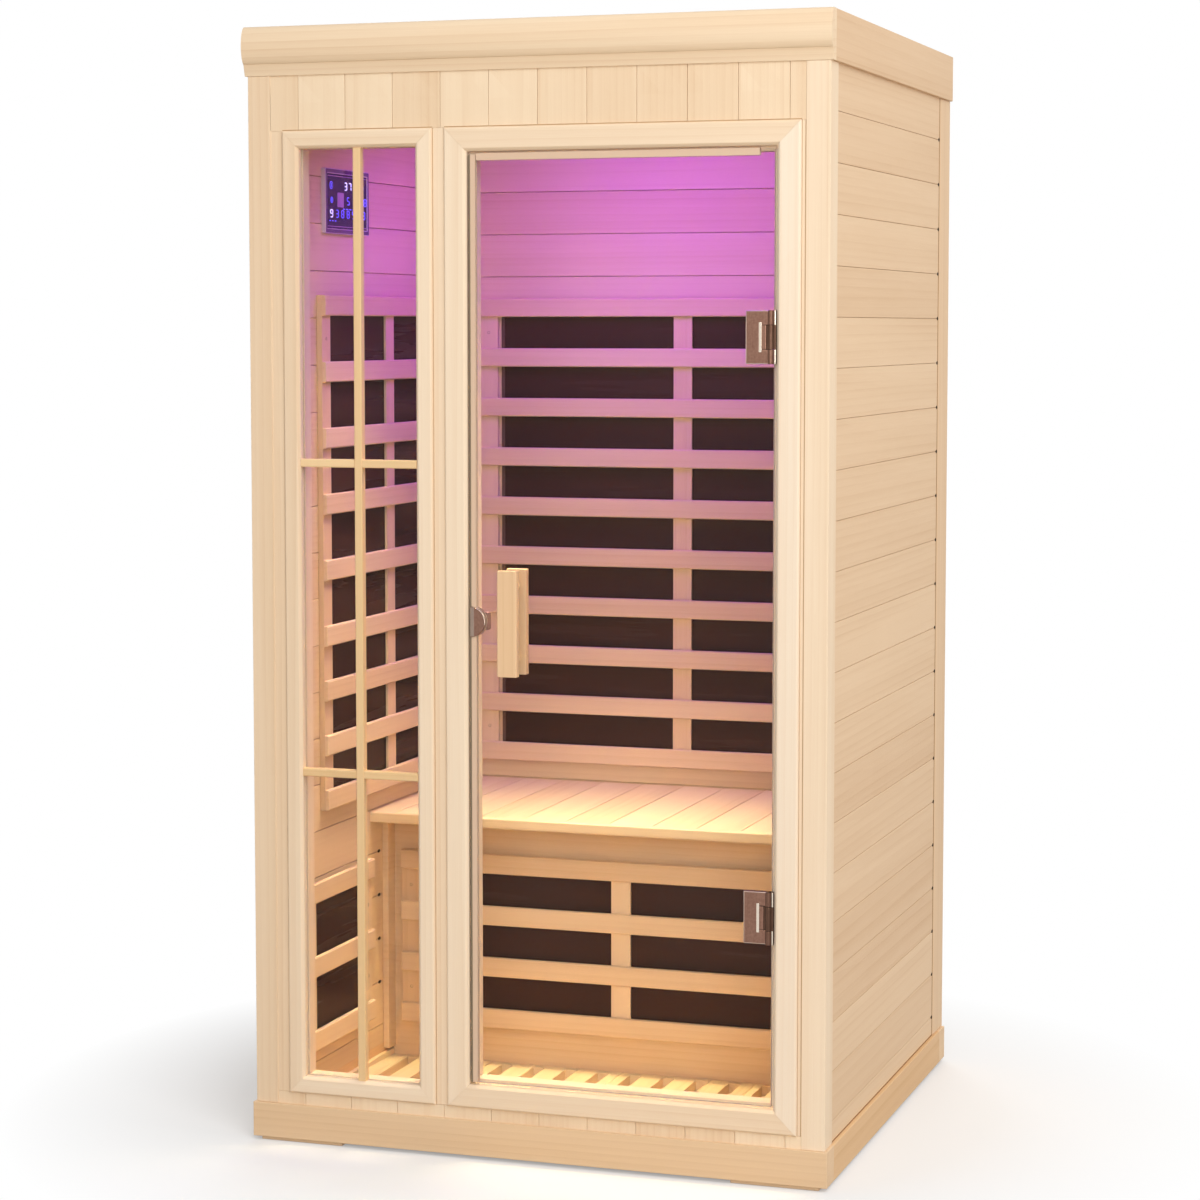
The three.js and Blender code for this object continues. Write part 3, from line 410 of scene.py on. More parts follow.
@dataclass(frozen=True)
class BrushedMetal:
    """Metal brushed along the vertical, with fine lines and slightly uneven colour."""

    label: str
    colour: Colour
    shine: Colour
    roughness: float
    mottle: float = 45.0
    lines: Point = (1600.0, 1600.0, 25.0)
    relief: float = 0.0002

    @cache
    def material(self) -> bpy.types.Material:
        """The finish as a material.

        Returns:
            The material, made once.
        """
        shader = Shader.named(self.label)
        place = shader.place()
        lines = shader.noise(place, self.lines, 2.0)
        cloud = shader.noise(place, (self.mottle,) * 3, 3.0)
        share = (lines * 0.6 + cloud * 0.8 - 0.3).within()
        return shader.surface(
            {
                "Base Color": shader.mix(share, self.colour, self.shine),
                "Metallic": 1.0,
                "Roughness": self.roughness + (lines - 0.5) * 0.18,
                "Normal": shader.bump(lines, 0.06, self.relief),
            }
        )


@dataclass(frozen=True)
class Coated:
    """Smooth coated or moulded surface with a faint cloud in its colour and gloss."""

    label: str
    colour: Colour
    cloud: Colour
    roughness: float
    gloss: float = 0.5
    scale: Point = (14.0, 14.0, 14.0)
    grit: Point = (900.0, 900.0, 900.0)
    relief: float = 0.0003

    @cache
    def material(self) -> bpy.types.Material:
        """The finish as a material.

        Returns:
            The material, made once.
        """
        shader = Shader.named(self.label)
        place = shader.place()
        cloud = shader.noise(place, self.scale, 4.0)
        grit = shader.noise(place, self.grit, 1.0)
        return shader.surface(
            {
                "Base Color": shader.mix((cloud * 2.2 - 0.6).within(), self.colour, self.cloud),
                "Roughness": self.roughness + (cloud - 0.5) * 0.2,
                "Specular IOR Level": self.gloss,
                "Normal": shader.bump(grit, 0.03, self.relief),
            }
        )


@dataclass(frozen=True)
class Lit:
    """Lit lens or display mark, a little brighter in some places than in others."""

    label: str
    colour: Colour
    strength: float
    core: Colour
    patches: Point = (60.0, 60.0, 60.0)

    @cache
    def material(self) -> bpy.types.Material:
        """The finish as a material.

        Returns:
            The material, made once.
        """
        shader = Shader.named(self.label)
        patch = shader.noise(shader.place(), self.patches, 2.0)
        glow = shader.mix((patch * 2.4 - 0.7).within(), self.colour, self.core)
        return shader.surface(
            {
                "Base Color": glow,
                "Roughness": 0.35 + patch * 0.1,
                "Emission Color": glow,
                "Emission Strength": self.strength,
            }
        )


@dataclass(frozen=True)
class Rubber:
    """Soft translucent strip with faint waves along it."""

    label: str = "door_seal"
    colour: Colour = (0.84, 0.63, 0.47)
    thick: Colour = (0.76, 0.55, 0.40)
    waves: Point = (60.0, 60.0, 14.0)
    gloss: float = 0.25

    @cache
    def material(self) -> bpy.types.Material:
        """The finish as a material.

        Returns:
            The material, made once.
        """
        shader = Shader.named(self.label)
        wave = shader.noise(shader.place(), self.waves, 2.0)
        return shader.surface(
            {
                "Base Color": shader.mix(wave, self.colour, self.thick),
                "Roughness": 0.4 + wave * 0.2,
                "Specular IOR Level": self.gloss,
                "Alpha": 0.8 + wave * 0.15,
            }
        )


Finish = Timber | ClearGlass | BrushedMetal | Coated | Lit | Rubber

GLASS = ClearGlass()
SEAL = Rubber()
# Pale bronze that paints a highlight: on the latch rim, the hinge strip and the jamb plate's front
# edge.
PAINTED_HIGHLIGHT = BrushedMetal("polished_edge", (0.66, 0.56, 0.45), (0.80, 0.71, 0.60), 0.26)
# Darker copy of the bronze that paints shade: on the tray in the hinge notch, the knuckle, web, pin and
# jamb plate.
SHADED_BRONZE = BrushedMetal("dark_bronze", (0.07, 0.035, 0.022), (0.15, 0.085, 0.06), 0.34)
BRONZE = BrushedMetal("bronze", (0.16, 0.076, 0.052), (0.35, 0.200, 0.145), 0.34, 260.0)
# Darker copy of the bronze on the barrels: painted shade that keeps them from reading lighter than the
# plate.
SHADED_BARREL = BrushedMetal("barrel_bronze", (0.10, 0.048, 0.032), (0.21, 0.117, 0.083), 0.34)
# Light bronze that paints a highlight on the hinge plate's rounded rim.
RIM_HIGHLIGHT = BrushedMetal("rim_bronze", (0.42, 0.30, 0.24), (0.56, 0.43, 0.35), 0.3)
EDGE_BRONZE = BrushedMetal("edge_bronze", (0.27, 0.19, 0.15), (0.38, 0.29, 0.235), 0.3)
# Near-black coat: real on the guard screws, and on the nail heads painted shade of the groove ends.
SCREW = Coated("screw", (0.03, 0.018, 0.011), (0.06, 0.04, 0.025), 0.8, 0.05)
PAD = Coated("latch_pad", (0.46, 0.33, 0.26), (0.52, 0.38, 0.30), 0.6, 0.15)
# Dark brown that paints the shadow in the gap between the side seal and the jamb.
SHADOW_LIP_COAT = Coated("gasket", (0.20, 0.155, 0.105), (0.26, 0.205, 0.145), 0.6, 0.1)
# Dark brown strips that paint the shadow of the gaps beside the rear posts and above the skirting.
SHADOW_LINE = Coated("shadow_joint", (0.30, 0.15, 0.06), (0.38, 0.20, 0.09), 0.7, 0.1)
# Brown strips that paint the shadow gaps round the frames and beside the right post.
SHADOW_SEAM = Coated("frame_seam", (0.44, 0.27, 0.14), (0.54, 0.35, 0.19), 0.7, 0.1)
# The heater face's cloud is drawn out into horizontal bands whose lighter streaks paint a faint sheen.
HEATER_SHEEN_BANDS = (0.8, 0.8, 16.0)
HEATER_FACE = Coated(
    "heater_face", (0.038, 0.014, 0.009), (0.062, 0.025, 0.016), 0.26, 0.1, HEATER_SHEEN_BANDS
)
HEATER_EDGE = Coated("heater_edge", (0.09, 0.042, 0.026), (0.12, 0.058, 0.036), 0.42)
BEZEL = Coated("control_bezel", (0.62, 0.50, 0.64), (0.70, 0.58, 0.72), 0.3)
BORDER = Coated("control_border", (0.085, 0.045, 0.13), (0.12, 0.06, 0.17), 0.3)
DISPLAY = Coated("control_display", (0.012, 0.007, 0.055), (0.033, 0.014, 0.09), 0.2, 0.2)
CASE = Coated("power_case", (0.45, 0.46, 0.47), (0.55, 0.56, 0.57), 0.4)
MAGNET = Coated("catch_magnet", (0.36, 0.22, 0.19), (0.41, 0.26, 0.22), 0.6, 0.1)
BRIGHT = Lit("lit_digits", (0.42, 0.38, 1.0), 1.5, (0.70, 0.66, 1.0))
DIM = Lit("lit_keys", (0.07, 0.05, 0.75), 1.0, (0.14, 0.11, 0.95))
WINDOW_MARK = Lit("lit_window", (0.26, 0.10, 0.34), 0.3, (0.32, 0.14, 0.40))
LENS = Lit("lamp_lens", (0.55, 0.20, 1.0), 5.0, (0.72, 0.42, 1.0))
TRIM = Coated("lamp_trim", (0.80, 0.80, 0.80), (0.88, 0.88, 0.88), 0.3)


# Modelling


def take(thing: bpy.types.Object) -> None:
    """Makes one object the only one selected, and the active one."""
    bpy.ops.object.select_all(action="DESELECT")
    thing.select_set(True)
    bpy.context.view_layer.objects.active = thing


def about(middle: float, half: float) -> Span:
    """The two ends of a length, from its middle."""
    return (middle - half, middle + half)


def every(part: Any) -> bool:
    """True for every edge and face."""
    return True


def extent(part: Any, axis: Axis) -> Span:
    """The two ends of an edge or face along an axis."""
    places = [vertex.co[axis.value] for vertex in part.verts]
    return (min(places), max(places))


def runs(axis: Axis) -> Test:
    """Test for edges that run along an axis."""
    return lambda edge: edge.calc_length() + extent(edge, axis)[0] - extent(edge, axis)[1] < NEAR


def lies(axis: Axis, *places: float) -> Test:
    """Test for edges or faces that lie wholly at one of some places along an axis."""
    return lambda part: any(
        all(abs(end - place) < NEAR for end in extent(part, axis)) for place in places
    )


def sided(count: int) -> Test:
    """Test for faces with a number of sides."""
    return lambda face: len(face.verts) == count


def both(*tests: Test) -> Test:
    """Test that passes where all of some tests pass."""
    return lambda part: all(test(part) for test in tests)


def other(test: Test) -> Test:
    """Test that passes where another one fails."""
    return lambda part: not test(part)


def sharp(edge: bmesh.types.BMEdge) -> bool:
    """True for an edge between two faces that meet at a clear angle."""
    return edge.calc_face_angle(0.0) > SHARP_ANGLE


class Workpiece:
    """One mesh on the bench, picked at by place or normal and shaped by edit operators."""

    def __init__(self, thing: bpy.types.Object) -> None:
        """Keeps the object that is worked on."""
        self.thing = thing

    @classmethod
    def primitive(cls, operator: Callable[..., Any], **settings: Any) -> "Workpiece":
        """A new primitive, with its place put into its mesh.

        Args:
            operator: the operator that adds it.
            settings: its size and place.

        Returns:
            The primitive.
        """
        bpy.ops.object.select_all(action="DESELECT")
        operator(**settings)
        bpy.ops.object.transform_apply(location=True, rotation=True, scale=True)
        return cls(bpy.context.object)

    @classmethod
    def block(cls, *spans: Span) -> "Workpiece":
        """A block.

        Args:
            spans: its two ends along X, Y and Z.

        Returns:
            The block.
        """
        low, high = (Vector(corner) for corner in zip(*spans))
        place = {"location": (low + high) / 2, "scale": high - low}
        return cls.primitive(bpy.ops.mesh.primitive_cube_add, size=1, **place)

    @classmethod
    def rod(cls, axis: Axis, end: Point, length: float, radius: float, sides: int = 32) -> "Workpiece":
        """A round bar.

        Args:
            axis: axis that the bar runs along.
            end: middle of its lower end.
            length: length along the axis.
            radius: radius.
            sides: number of sides.

        Returns:
            The bar.
        """
        middle = Vector(end)
        middle[axis.value] += length / 2
        turns = {Axis.X: (0, math.pi / 2, 0), Axis.Y: (math.pi / 2, 0, 0), Axis.Z: (0, 0, 0)}
        size = {"vertices": sides, "radius": radius, "depth": length}
        place = {"location": middle, "rotation": turns[axis]}
        return cls.primitive(bpy.ops.mesh.primitive_cylinder_add, **size, **place)

    @classmethod
    def copied(cls, node: str) -> "Workpiece":
        """A merged copy of a solid, with its flat faces in one piece.

        Args:
            node: the solid.

        Returns:
            The copy.
        """
        thing = bpy.data.objects.new(node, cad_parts[node].data.copy())
        bpy.context.scene.collection.objects.link(thing)
        thing.data.materials.clear()
        merged = cls(thing).edit("FACE", every, bpy.ops.mesh.remove_doubles, threshold=MERGE)
        return merged.edit("FACE", every, bpy.ops.mesh.dissolve_limited, angle_limit=FLAT_ANGLE)

    @classmethod
    def joined(cls, parts: Sequence["Workpiece"]) -> "Workpiece":
        """Several pieces as one.

        Args:
            parts: the pieces.

        Returns:
            The first piece, with the others taken into it.
        """
        take(parts[0].thing)
        for part in parts[1:]:
            part.thing.select_set(True)
        bpy.ops.object.join()
        return parts[0]

    def named(self, label: str) -> bpy.types.Object:
        """The object, under its name."""
        self.thing.name = self.thing.data.name = label
        return self.thing

    def edit(self, kind: str, test: Test, operator: Callable[..., Any], **settings: Any) -> "Workpiece":
        """Runs one operator in edit mode on some of the mesh.

        Args:
            kind: EDGE or FACE.
            test: says which edges or faces are selected.
            operator: the operator.
            settings: its settings.

        Returns:
            The piece.
        """
        take(self.thing)
        bpy.ops.object.mode_set(mode="EDIT")
        bpy.ops.mesh.select_mode(type=kind)
        bpy.ops.mesh.select_all(action="DESELECT")
        mesh = bmesh.from_edit_mesh(self.thing.data)
        for part in mesh.edges if kind == "EDGE" else mesh.faces:
            if test(part):
                part.select_set(True)
        bmesh.update_edit_mesh(self.thing.data)
        operator(**settings)
        bpy.ops.object.mode_set(mode="OBJECT")
        return self

    def bevel(self, test: Test, width: float, segments: int = 2) -> "Workpiece":
        """Rounds the edges that pass a test."""
        settings = {"offset": width, "segments": segments, "affect": "EDGES", "clamp_overlap": True}
        return self.edit("EDGE", test, bpy.ops.mesh.bevel, **settings)

    def inset(self, test: Test, width: float, depth: float = 0.0) -> "Workpiece":
        """Insets the faces that pass a test, and sinks them by a negative depth."""
        return self.edit("FACE", test, bpy.ops.mesh.inset, thickness=width, depth=depth)

    def extrude(self, test: Test, move: Point) -> "Workpiece":
        """Extrudes the faces that pass a test."""
        way = {"TRANSFORM_OT_translate": {"value": move}}
        return self.edit("FACE", test, bpy.ops.mesh.extrude_region_move, **way)

    def divide(self, point: Point, normal: Point, keep: bool = True) -> "Workpiece":
        """Cuts the mesh by a plane, and drops what lies beyond it unless it is kept."""
        plane = {"plane_co": point, "plane_no": normal, "clear_outer": not keep, "use_fill": not keep}
        return self.edit("FACE", every, bpy.ops.mesh.bisect, **plane)

    def stretch(self, scale: Point) -> "Workpiece":
        """Stretches the whole mesh from the frame's origin."""
        origin = {"center_override": (0, 0, 0)}
        return self.edit("FACE", every, bpy.ops.transform.resize, value=scale, **origin)

    def shift(self, move: Point, turn: float = 0.0) -> "Workpiece":
        """Turns the piece about the frame's vertical, moves it, and keeps both in its mesh.

        Args:
            move: way that it goes.
            turn: angle of the turn.

        Returns:
            The piece.
        """
        take(self.thing)
        self.thing.location = move
        self.thing.rotation_euler.z = turn
        bpy.ops.object.transform_apply(location=True, rotation=True, scale=True)
        return self

    def spread(self, moves: Iterable[Point]) -> list["Workpiece"]:
        """Copies, each with a mesh of its own, in place of the piece.

        Args:
            moves: way that each copy goes from the piece's place.

        Returns:
            The copies.
        """
        copies = []
        for move in moves:
            thing = self.thing.copy()
            thing.data = self.thing.data.copy()
            bpy.context.scene.collection.objects.link(thing)
            copies.append(Workpiece(thing).shift(move))
        bpy.data.objects.remove(self.thing)
        return copies

    def coat(self, finish: Finish, test: Test | None = None) -> "Workpiece":
        """Gives the mesh a finish, or some of its faces one more.

        Args:
            finish: the finish.
            test: says which faces take it, where not all do.

        Returns:
            The piece.
        """
        self.thing.data.materials.append(finish.material())
        if test is not None:
            self.thing.active_material_index = len(self.thing.data.materials) - 1
            self.edit("FACE", test, bpy.ops.object.material_slot_assign)
        return self

    def number(self) -> "Workpiece":
        """Gives the mesh a board number of its own, which its grain follows.

        Returns:
            The piece.
        """
        mesh = self.thing.data
        numbers = mesh.attributes.new("board", "FLOAT", "POINT")
        value = next(board_numbers) * BOARD_STEP
        numbers.data.foreach_set("value", [value] * len(mesh.vertices))
        return self

    def timber(self, tone: Tone, grain: Axis) -> "Workpiece":
        """Makes the piece a board of its own, of a timber whose grain runs along an axis."""
        return self.number().coat(Timber(tone, grain))

    def finish(self, label: str, body: Body, slot: Slot, *replaced: str) -> None:
        """Smooths the piece and hands it to its body.

        Args:
            label: name of the piece.
            body: body that the piece rides on.
            slot: material slot of the record for the piece; not used.
            replaced: solids that it stands for.
        """
        thing = self.named(label)
        take(thing)
        bpy.ops.object.shade_smooth_by_angle(angle=SMOOTH_ANGLE)
        bpy.ops.object.modifier_add(type="WEIGHTED_NORMAL")
        flat = thing.modifiers[-1]
        flat.keep_sharp = True
        bpy.ops.object.modifier_apply(modifier=flat.name)
        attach(thing, body.value)
        if replaced:
            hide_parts(*replaced)
        log.info("%s: %d faces", label, len(thing.data.polygons))


def dress(node: str, finish: Finish) -> None:
    """Gives a solid that stays its finish.

    Args:
        node: the solid.
        finish: the finish.
    """
    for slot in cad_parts[node].material_slots:
        slot.material = finish.material()
    log.info("%s: %s", node, finish.material().name)


# Timber of the cabin


@dataclass
class BoardedSkin:
    """Tongue-and-groove boards laid side by side over a backing, in place of one flat solid."""

    node: str
    tone: Tone
    across: Axis
    grain: Axis
    show: int
    pitch: float
    joint: float
    slot: Slot
    foot: float = 0.0
    gap: float = 0.0010
    edge: float = 0.0013
    board: float = 0.006
    backing_ease: float = 0.0003

    @property
    def through(self) -> Axis:
        """Axis of the skin's thickness."""
        return next(axis for axis in Axis if axis not in (self.across, self.grain))

    def build(self) -> None:
        """Makes one board, copies it across, saws the end ones to width and adds the backing."""
        low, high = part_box(self.node)
        through, across = self.through.value, self.across.value
        far, face = sorted((low[through], high[through]), reverse=self.show < 0)
        back = face - self.show * self.board
        spans = list(zip(low, high))
        spans[through] = sorted((face, back))
        spans[across] = (self.joint + self.gap / 2, self.joint + self.pitch - self.gap / 2)
        board = Workpiece.block(*spans)
        board.bevel(both(runs(self.grain), lies(self.through, face)), self.edge)
        board.coat(Timber(self.tone, self.grain))
        first = math.floor((low[across] - self.joint) / self.pitch + NEAR)
        last = math.ceil((high[across] - self.joint) / self.pitch - NEAR)
        normal = Vector(float(axis is self.across) for axis in Axis)
        rows = board.spread(normal * (row * self.pitch) for row in range(first, last))
        for row in rows:
            row.number()
        rows[0].divide(low + normal * self.foot, -normal, keep=False)
        rows[-1].divide(high, normal, keep=False)
        spans = list(zip(low, high))
        spans[through] = sorted((far, back))
        backing = Workpiece.block(*spans).bevel(runs(self.grain), self.backing_ease, 1)
        skin = Workpiece.joined([backing.timber(self.tone, self.grain), *rows])
        skin.finish(f"{self.node}_boards", Body.CABIN, self.slot, self.node)


@dataclass
class Carcass:
    """Base, posts, walls, front wall and roof timbers, with their edges eased."""

    ease: float = 0.0014
    crown_ease: float = 0.0011
    rebate: float = 0.012
    board_pitch: float = 0.082
    wall_joint: float = 1.742
    cladding_foot: float = 0.0025
    cladding_gap: float = 0.0005
    cladding_edge: float = 0.0009
    front_pitch: float = 0.085
    front_joint: float = -0.413
    line_width: float = 0.0045
    line_proud: float = 0.0002
    line_ease: float = 0.0001
    nail_height: float = 0.0065
    nail_length: float = 0.013
    nail_proud: float = 0.0004
    nail_ease: float = 0.0003
    nail_sides: int = 12
    bench_nail: float = -0.004
    bench_nail_rows: tuple[int, int] = (16, 20)
    sheet: Boards = Boards(Axis.X, 4.0, -2.0)

    def eased(self, node: str, tone: Tone, grain: Axis, slot: Slot, ease: float) -> None:
        """Replaces a solid by a timber of its shape with eased edges."""
        piece = Workpiece.copied(node).bevel(sharp, ease).timber(tone, grain)
        piece.finish(f"{node}_timber", Body.CABIN, slot, node)

    def build(self) -> None:
        """Makes the eased timbers, the boarded skins, the painted shadow lines and the nails, whose
        dark heads paint shade.
        """
        for side in ("left", "right"):
            # The left post gets the darker tone as painted shade of the light from the right.
            front = Tone.FRONT if side == "right" else Tone.POST
            self.eased(f"front_post_{side}", front, Axis.Z, Slot.WOOD_PALE, self.ease)
            self.rear_post(side)
            self.eased(f"crown_{side}", Tone.WALL, Axis.Y, Slot.WOOD, self.ease)
            self.eased(f"skirt_{side}", Tone.PLINTH, Axis.Y, Slot.WOOD_WARM, self.ease)
        for place in ("front", "back"):
            self.eased(f"skirt_{place}", Tone.SKIRT, Axis.X, Slot.WOOD_WARM, self.ease)
        self.eased("crown_front", Tone.PANEL, Axis.X, Slot.WOOD_PALE, self.crown_ease)
        self.eased("front_mullion", Tone.FRONT, Axis.Z, Slot.WOOD_PALE, self.ease)
        self.eased("bench_front_panel", Tone.LINING, Axis.X, Slot.WOOD, self.ease)
        for skin in self.skins():
            skin.build()
        self.nails()

    def rear_post(self, side: str) -> None:
        """Makes a rear post whose face slopes down to the cladding's face beside it.

        Args:
            side: side of the cabin.
        """
        node = f"rear_post_{side}"
        outer = 0 if side == "left" else 1
        face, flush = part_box(node)[outer].x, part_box(f"{side}_cladding")[outer].x
        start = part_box(node)[0].y
        post = Workpiece.copied(node).divide((0, start + self.rebate, 0), (0, 1, 0))
        corner = both(runs(Axis.Z), lies(Axis.X, face), lies(Axis.Y, start))
        post.edit("EDGE", corner, bpy.ops.transform.translate, value=(flush - face, 0, 0))
        post.bevel(both(sharp, other(lies(Axis.Y, start))), self.ease).timber(Tone.WALL, Axis.Z)
        post.finish(f"{node}_timber", Body.CABIN, Slot.WOOD, node)

    def nails(self) -> None:
        """Sets painted shadow lines round the outer boards, and nails at the ends of the board joints
        whose dark heads paint shade.
        """
        for side, sign in (("left", -1), ("right", 1)):
            low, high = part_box(f"{side}_cladding")
            face = low.x if sign < 0 else high.x
            self.lines(side, face, low, high)
            count = int((self.wall_joint - low.z) / self.board_pitch)
            end = high.y - self.nail_length / 2
            self.nail_row(f"{side}_wall_nails", sign, (face, end), range(count + 1))
            low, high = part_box(f"{side}_lining")
            face = high.x if sign < 0 else low.x
            rows = range(*self.bench_nail_rows)
            self.nail_row(f"{side}_bench_nails", -sign, (face, self.bench_nail), rows)

    def lines(self, side: str, face: float, low: Vector, high: Vector) -> None:
        """Makes the painted shadow lines of one wall's cladding, beside the rear post and on the
        skirting.

        Args:
            side: side of the cabin.
            face: X of the cladding's face.
            low: lower corner of the cladding.
            high: upper corner of the cladding.
        """
        foot = low.z + self.cladding_foot
        beside = ((high.y - self.line_width, high.y), (foot, high.z))
        under = ((low.y, high.y), (low.z, foot))
        lines = []
        for spans in (beside, under):
            line = Workpiece.block(about(face, self.line_proud), *spans)
            # Each line is a dark strip that paints shadow.
            lines.append(line.bevel(sharp, self.line_ease, 1).coat(SHADOW_LINE))
        Workpiece.joined(lines).finish(f"{side}_wall_lines", Body.CABIN, Slot.WOOD)

    def nail_row(self, label: str, sign: int, place: Point, rows: range) -> None:
        """Makes a row of long nail heads on a wall's board joints, near-black as painted shade of the
        groove ends.

        Args:
            label: name of the piece.
            sign: way that the wall faces along X.
            place: X of the wall's face and Y of the nails.
            rows: numbers of the joints, from the top one down.
        """
        proud, radius = self.nail_proud, self.nail_height / 2
        nail = Workpiece.rod(Axis.X, (-proud, 0, 0), 2 * proud, radius, self.nail_sides)
        nail.bevel(lies(Axis.X, proud * sign), self.nail_ease, 1)
        # The near-black heads paint the shade at the groove ends.
        nail.stretch((1, self.nail_length / self.nail_height, 1)).coat(SCREW)
        heads = nail.spread((*place, self.wall_joint - row * self.board_pitch) for row in rows)
        Workpiece.joined(heads).finish(label, Body.CABIN, Slot.STEEL)

    def skins(self) -> list[BoardedSkin]:
        """The boarded walls, front panels and ceiling.

        Returns:
            The skins, in the order in which they are built.
        """
        fine = (self.cladding_gap, self.cladding_edge)
        inner = (self.board_pitch, self.wall_joint, Slot.WOOD)
        outer = (*inner, self.cladding_foot, *fine)
        front = (self.front_pitch, self.front_joint, Slot.WOOD_PALE, 0.0, *fine)
        above = (self.board_pitch, 0.0, Slot.WOOD)
        return [
            BoardedSkin("left_cladding", Tone.WALL, Axis.Z, Axis.Y, -1, *outer),
            BoardedSkin("left_lining", Tone.LINING, Axis.Z, Axis.Y, 1, *inner),
            BoardedSkin("right_cladding", Tone.WALL, Axis.Z, Axis.Y, 1, *outer),
            BoardedSkin("right_lining", Tone.LINING, Axis.Z, Axis.Y, -1, *inner),
            BoardedSkin("back_cladding", Tone.WALL, Axis.Z, Axis.X, 1, *outer),
            BoardedSkin("back_lining", Tone.LINING, Axis.Z, Axis.X, -1, *inner),
            BoardedSkin("front_header", Tone.PANEL, Axis.X, Axis.Z, -1, *front),
            BoardedSkin("front_sill", Tone.PANEL, Axis.X, Axis.Z, -1, *front),
            BoardedSkin("ceiling_panel", Tone.LINING, Axis.X, Axis.Y, -1, *above),
        ]

    def dress(self) -> None:
        """Gives the plain panels that stay their timber."""
        for node in ("roof_lid", "floor_deck"):
            dress(node, Timber(Tone.WALL, Axis.X, self.sheet))


@dataclass
class Openings:
    """Mitred frames of the window and the doorway with their seams, the window's bars and glass."""

    ease: float = 0.0012
    bar_edge: float = 0.002
    bar_segments: int = 3
    bar_width: float = 0.014
    bar_setback: float = 0.0006
    bar_count: int = 2
    seam: float = 0.0012
    seam_over: float = 0.0018
    seam_sunk: float = 0.0001
    seam_proud: float = 0.0002

    def build(self) -> None:
        """Makes the frames, the bars and the seams."""
        sides = {"left": Axis.Z, "right": Axis.Z, "top": Axis.X, "bottom": Axis.X}
        for name, (side, grain) in itertools.product(("window", "door"), sides.items()):
            node = f"{name}_frame_{side}"
            # The door's right jamb gets the paler tone as a painted sheen.
            tone = Tone.PALE if node == "door_frame_right" else Tone.FRONT
            piece = Workpiece.copied(node).bevel(both(sharp, runs(grain)), self.ease)
            piece.timber(tone, grain).finish(f"{node}_timber", Body.CABIN, Slot.WOOD_PALE, node)
        self.bars()
        self.seams()

    def seams(self) -> None:
        """Makes the fine seams, painted shadow, where the frames and the right post meet the front
        wall.
        """
        mullion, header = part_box("front_mullion")[0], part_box("front_header")
        jamb_low, jamb_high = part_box("door_frame_right")
        tall = (jamb_low.z, jamb_high.z)
        over = (header[0].z, header[0].z + self.seam_over)
        face, step = mullion.y, header[1].x
        sunk = (face + self.seam_sunk, face + self.seam)
        places = [((x, x + self.seam), sunk, tall) for x in (mullion.x, jamb_high.x)]
        across = (step - self.seam, step + self.seam / 2)
        places.append((across, (face - self.seam, face + self.seam_sunk), tall))
        for name in ("window", "door"):
            ends = (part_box(f"{name}_frame_left")[0].x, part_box(f"{name}_frame_right")[1].x)
            places.append((ends, about(face, self.seam_proud), over))
        seams = [Workpiece.block(*spans).bevel(sharp, self.seam_sunk, 1) for spans in places]
        # The seams are proud strips that paint shadow in place of recessed gaps.
        whole = Workpiece.joined([seam.coat(SHADOW_SEAM) for seam in seams])
        whole.finish("frame_seams", Body.CABIN, Slot.WOOD_PALE)

    def bars(self) -> None:
        """Makes the upright bar and the cross bars let in on both sides of it."""
        low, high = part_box("window_muntins")
        left, right = about((low.x + high.x) / 2, self.bar_width / 2)
        spans = ((left, right), (low.y, high.y), (low.z, high.z))
        bars = [self.bar(Axis.Z, spans)]
        depth = (low.y + self.bar_setback, high.y)
        for row in range(1, self.bar_count + 1):
            height = low.z + (high.z - low.z) * row / (self.bar_count + 1)
            for ends in ((low.x, left), (right, high.x)):
                spans = (ends, depth, about(height, self.bar_width / 2))
                bars.append(self.bar(Axis.X, spans))
        whole = Workpiece.joined(bars)
        whole.finish("window_bars", Body.CABIN, Slot.WOOD_PALE, "window_muntins")

    def bar(self, grain: Axis, spans: Sequence[Span]) -> Workpiece:
        """One bar of the window.

        Args:
            grain: axis that it runs along.
            spans: its two ends along X, Y and Z.

        Returns:
            The bar, with the edges of its front rounded.
        """
        bar = Workpiece.block(*spans)
        front = both(runs(grain), lies(Axis.Y, spans[Axis.Y.value][0]))
        return bar.bevel(front, self.bar_edge, self.bar_segments).timber(Tone.BAR, grain)

    def dress(self) -> None:
        """Gives the window its glass."""
        dress("window_glass", GLASS)


# Door


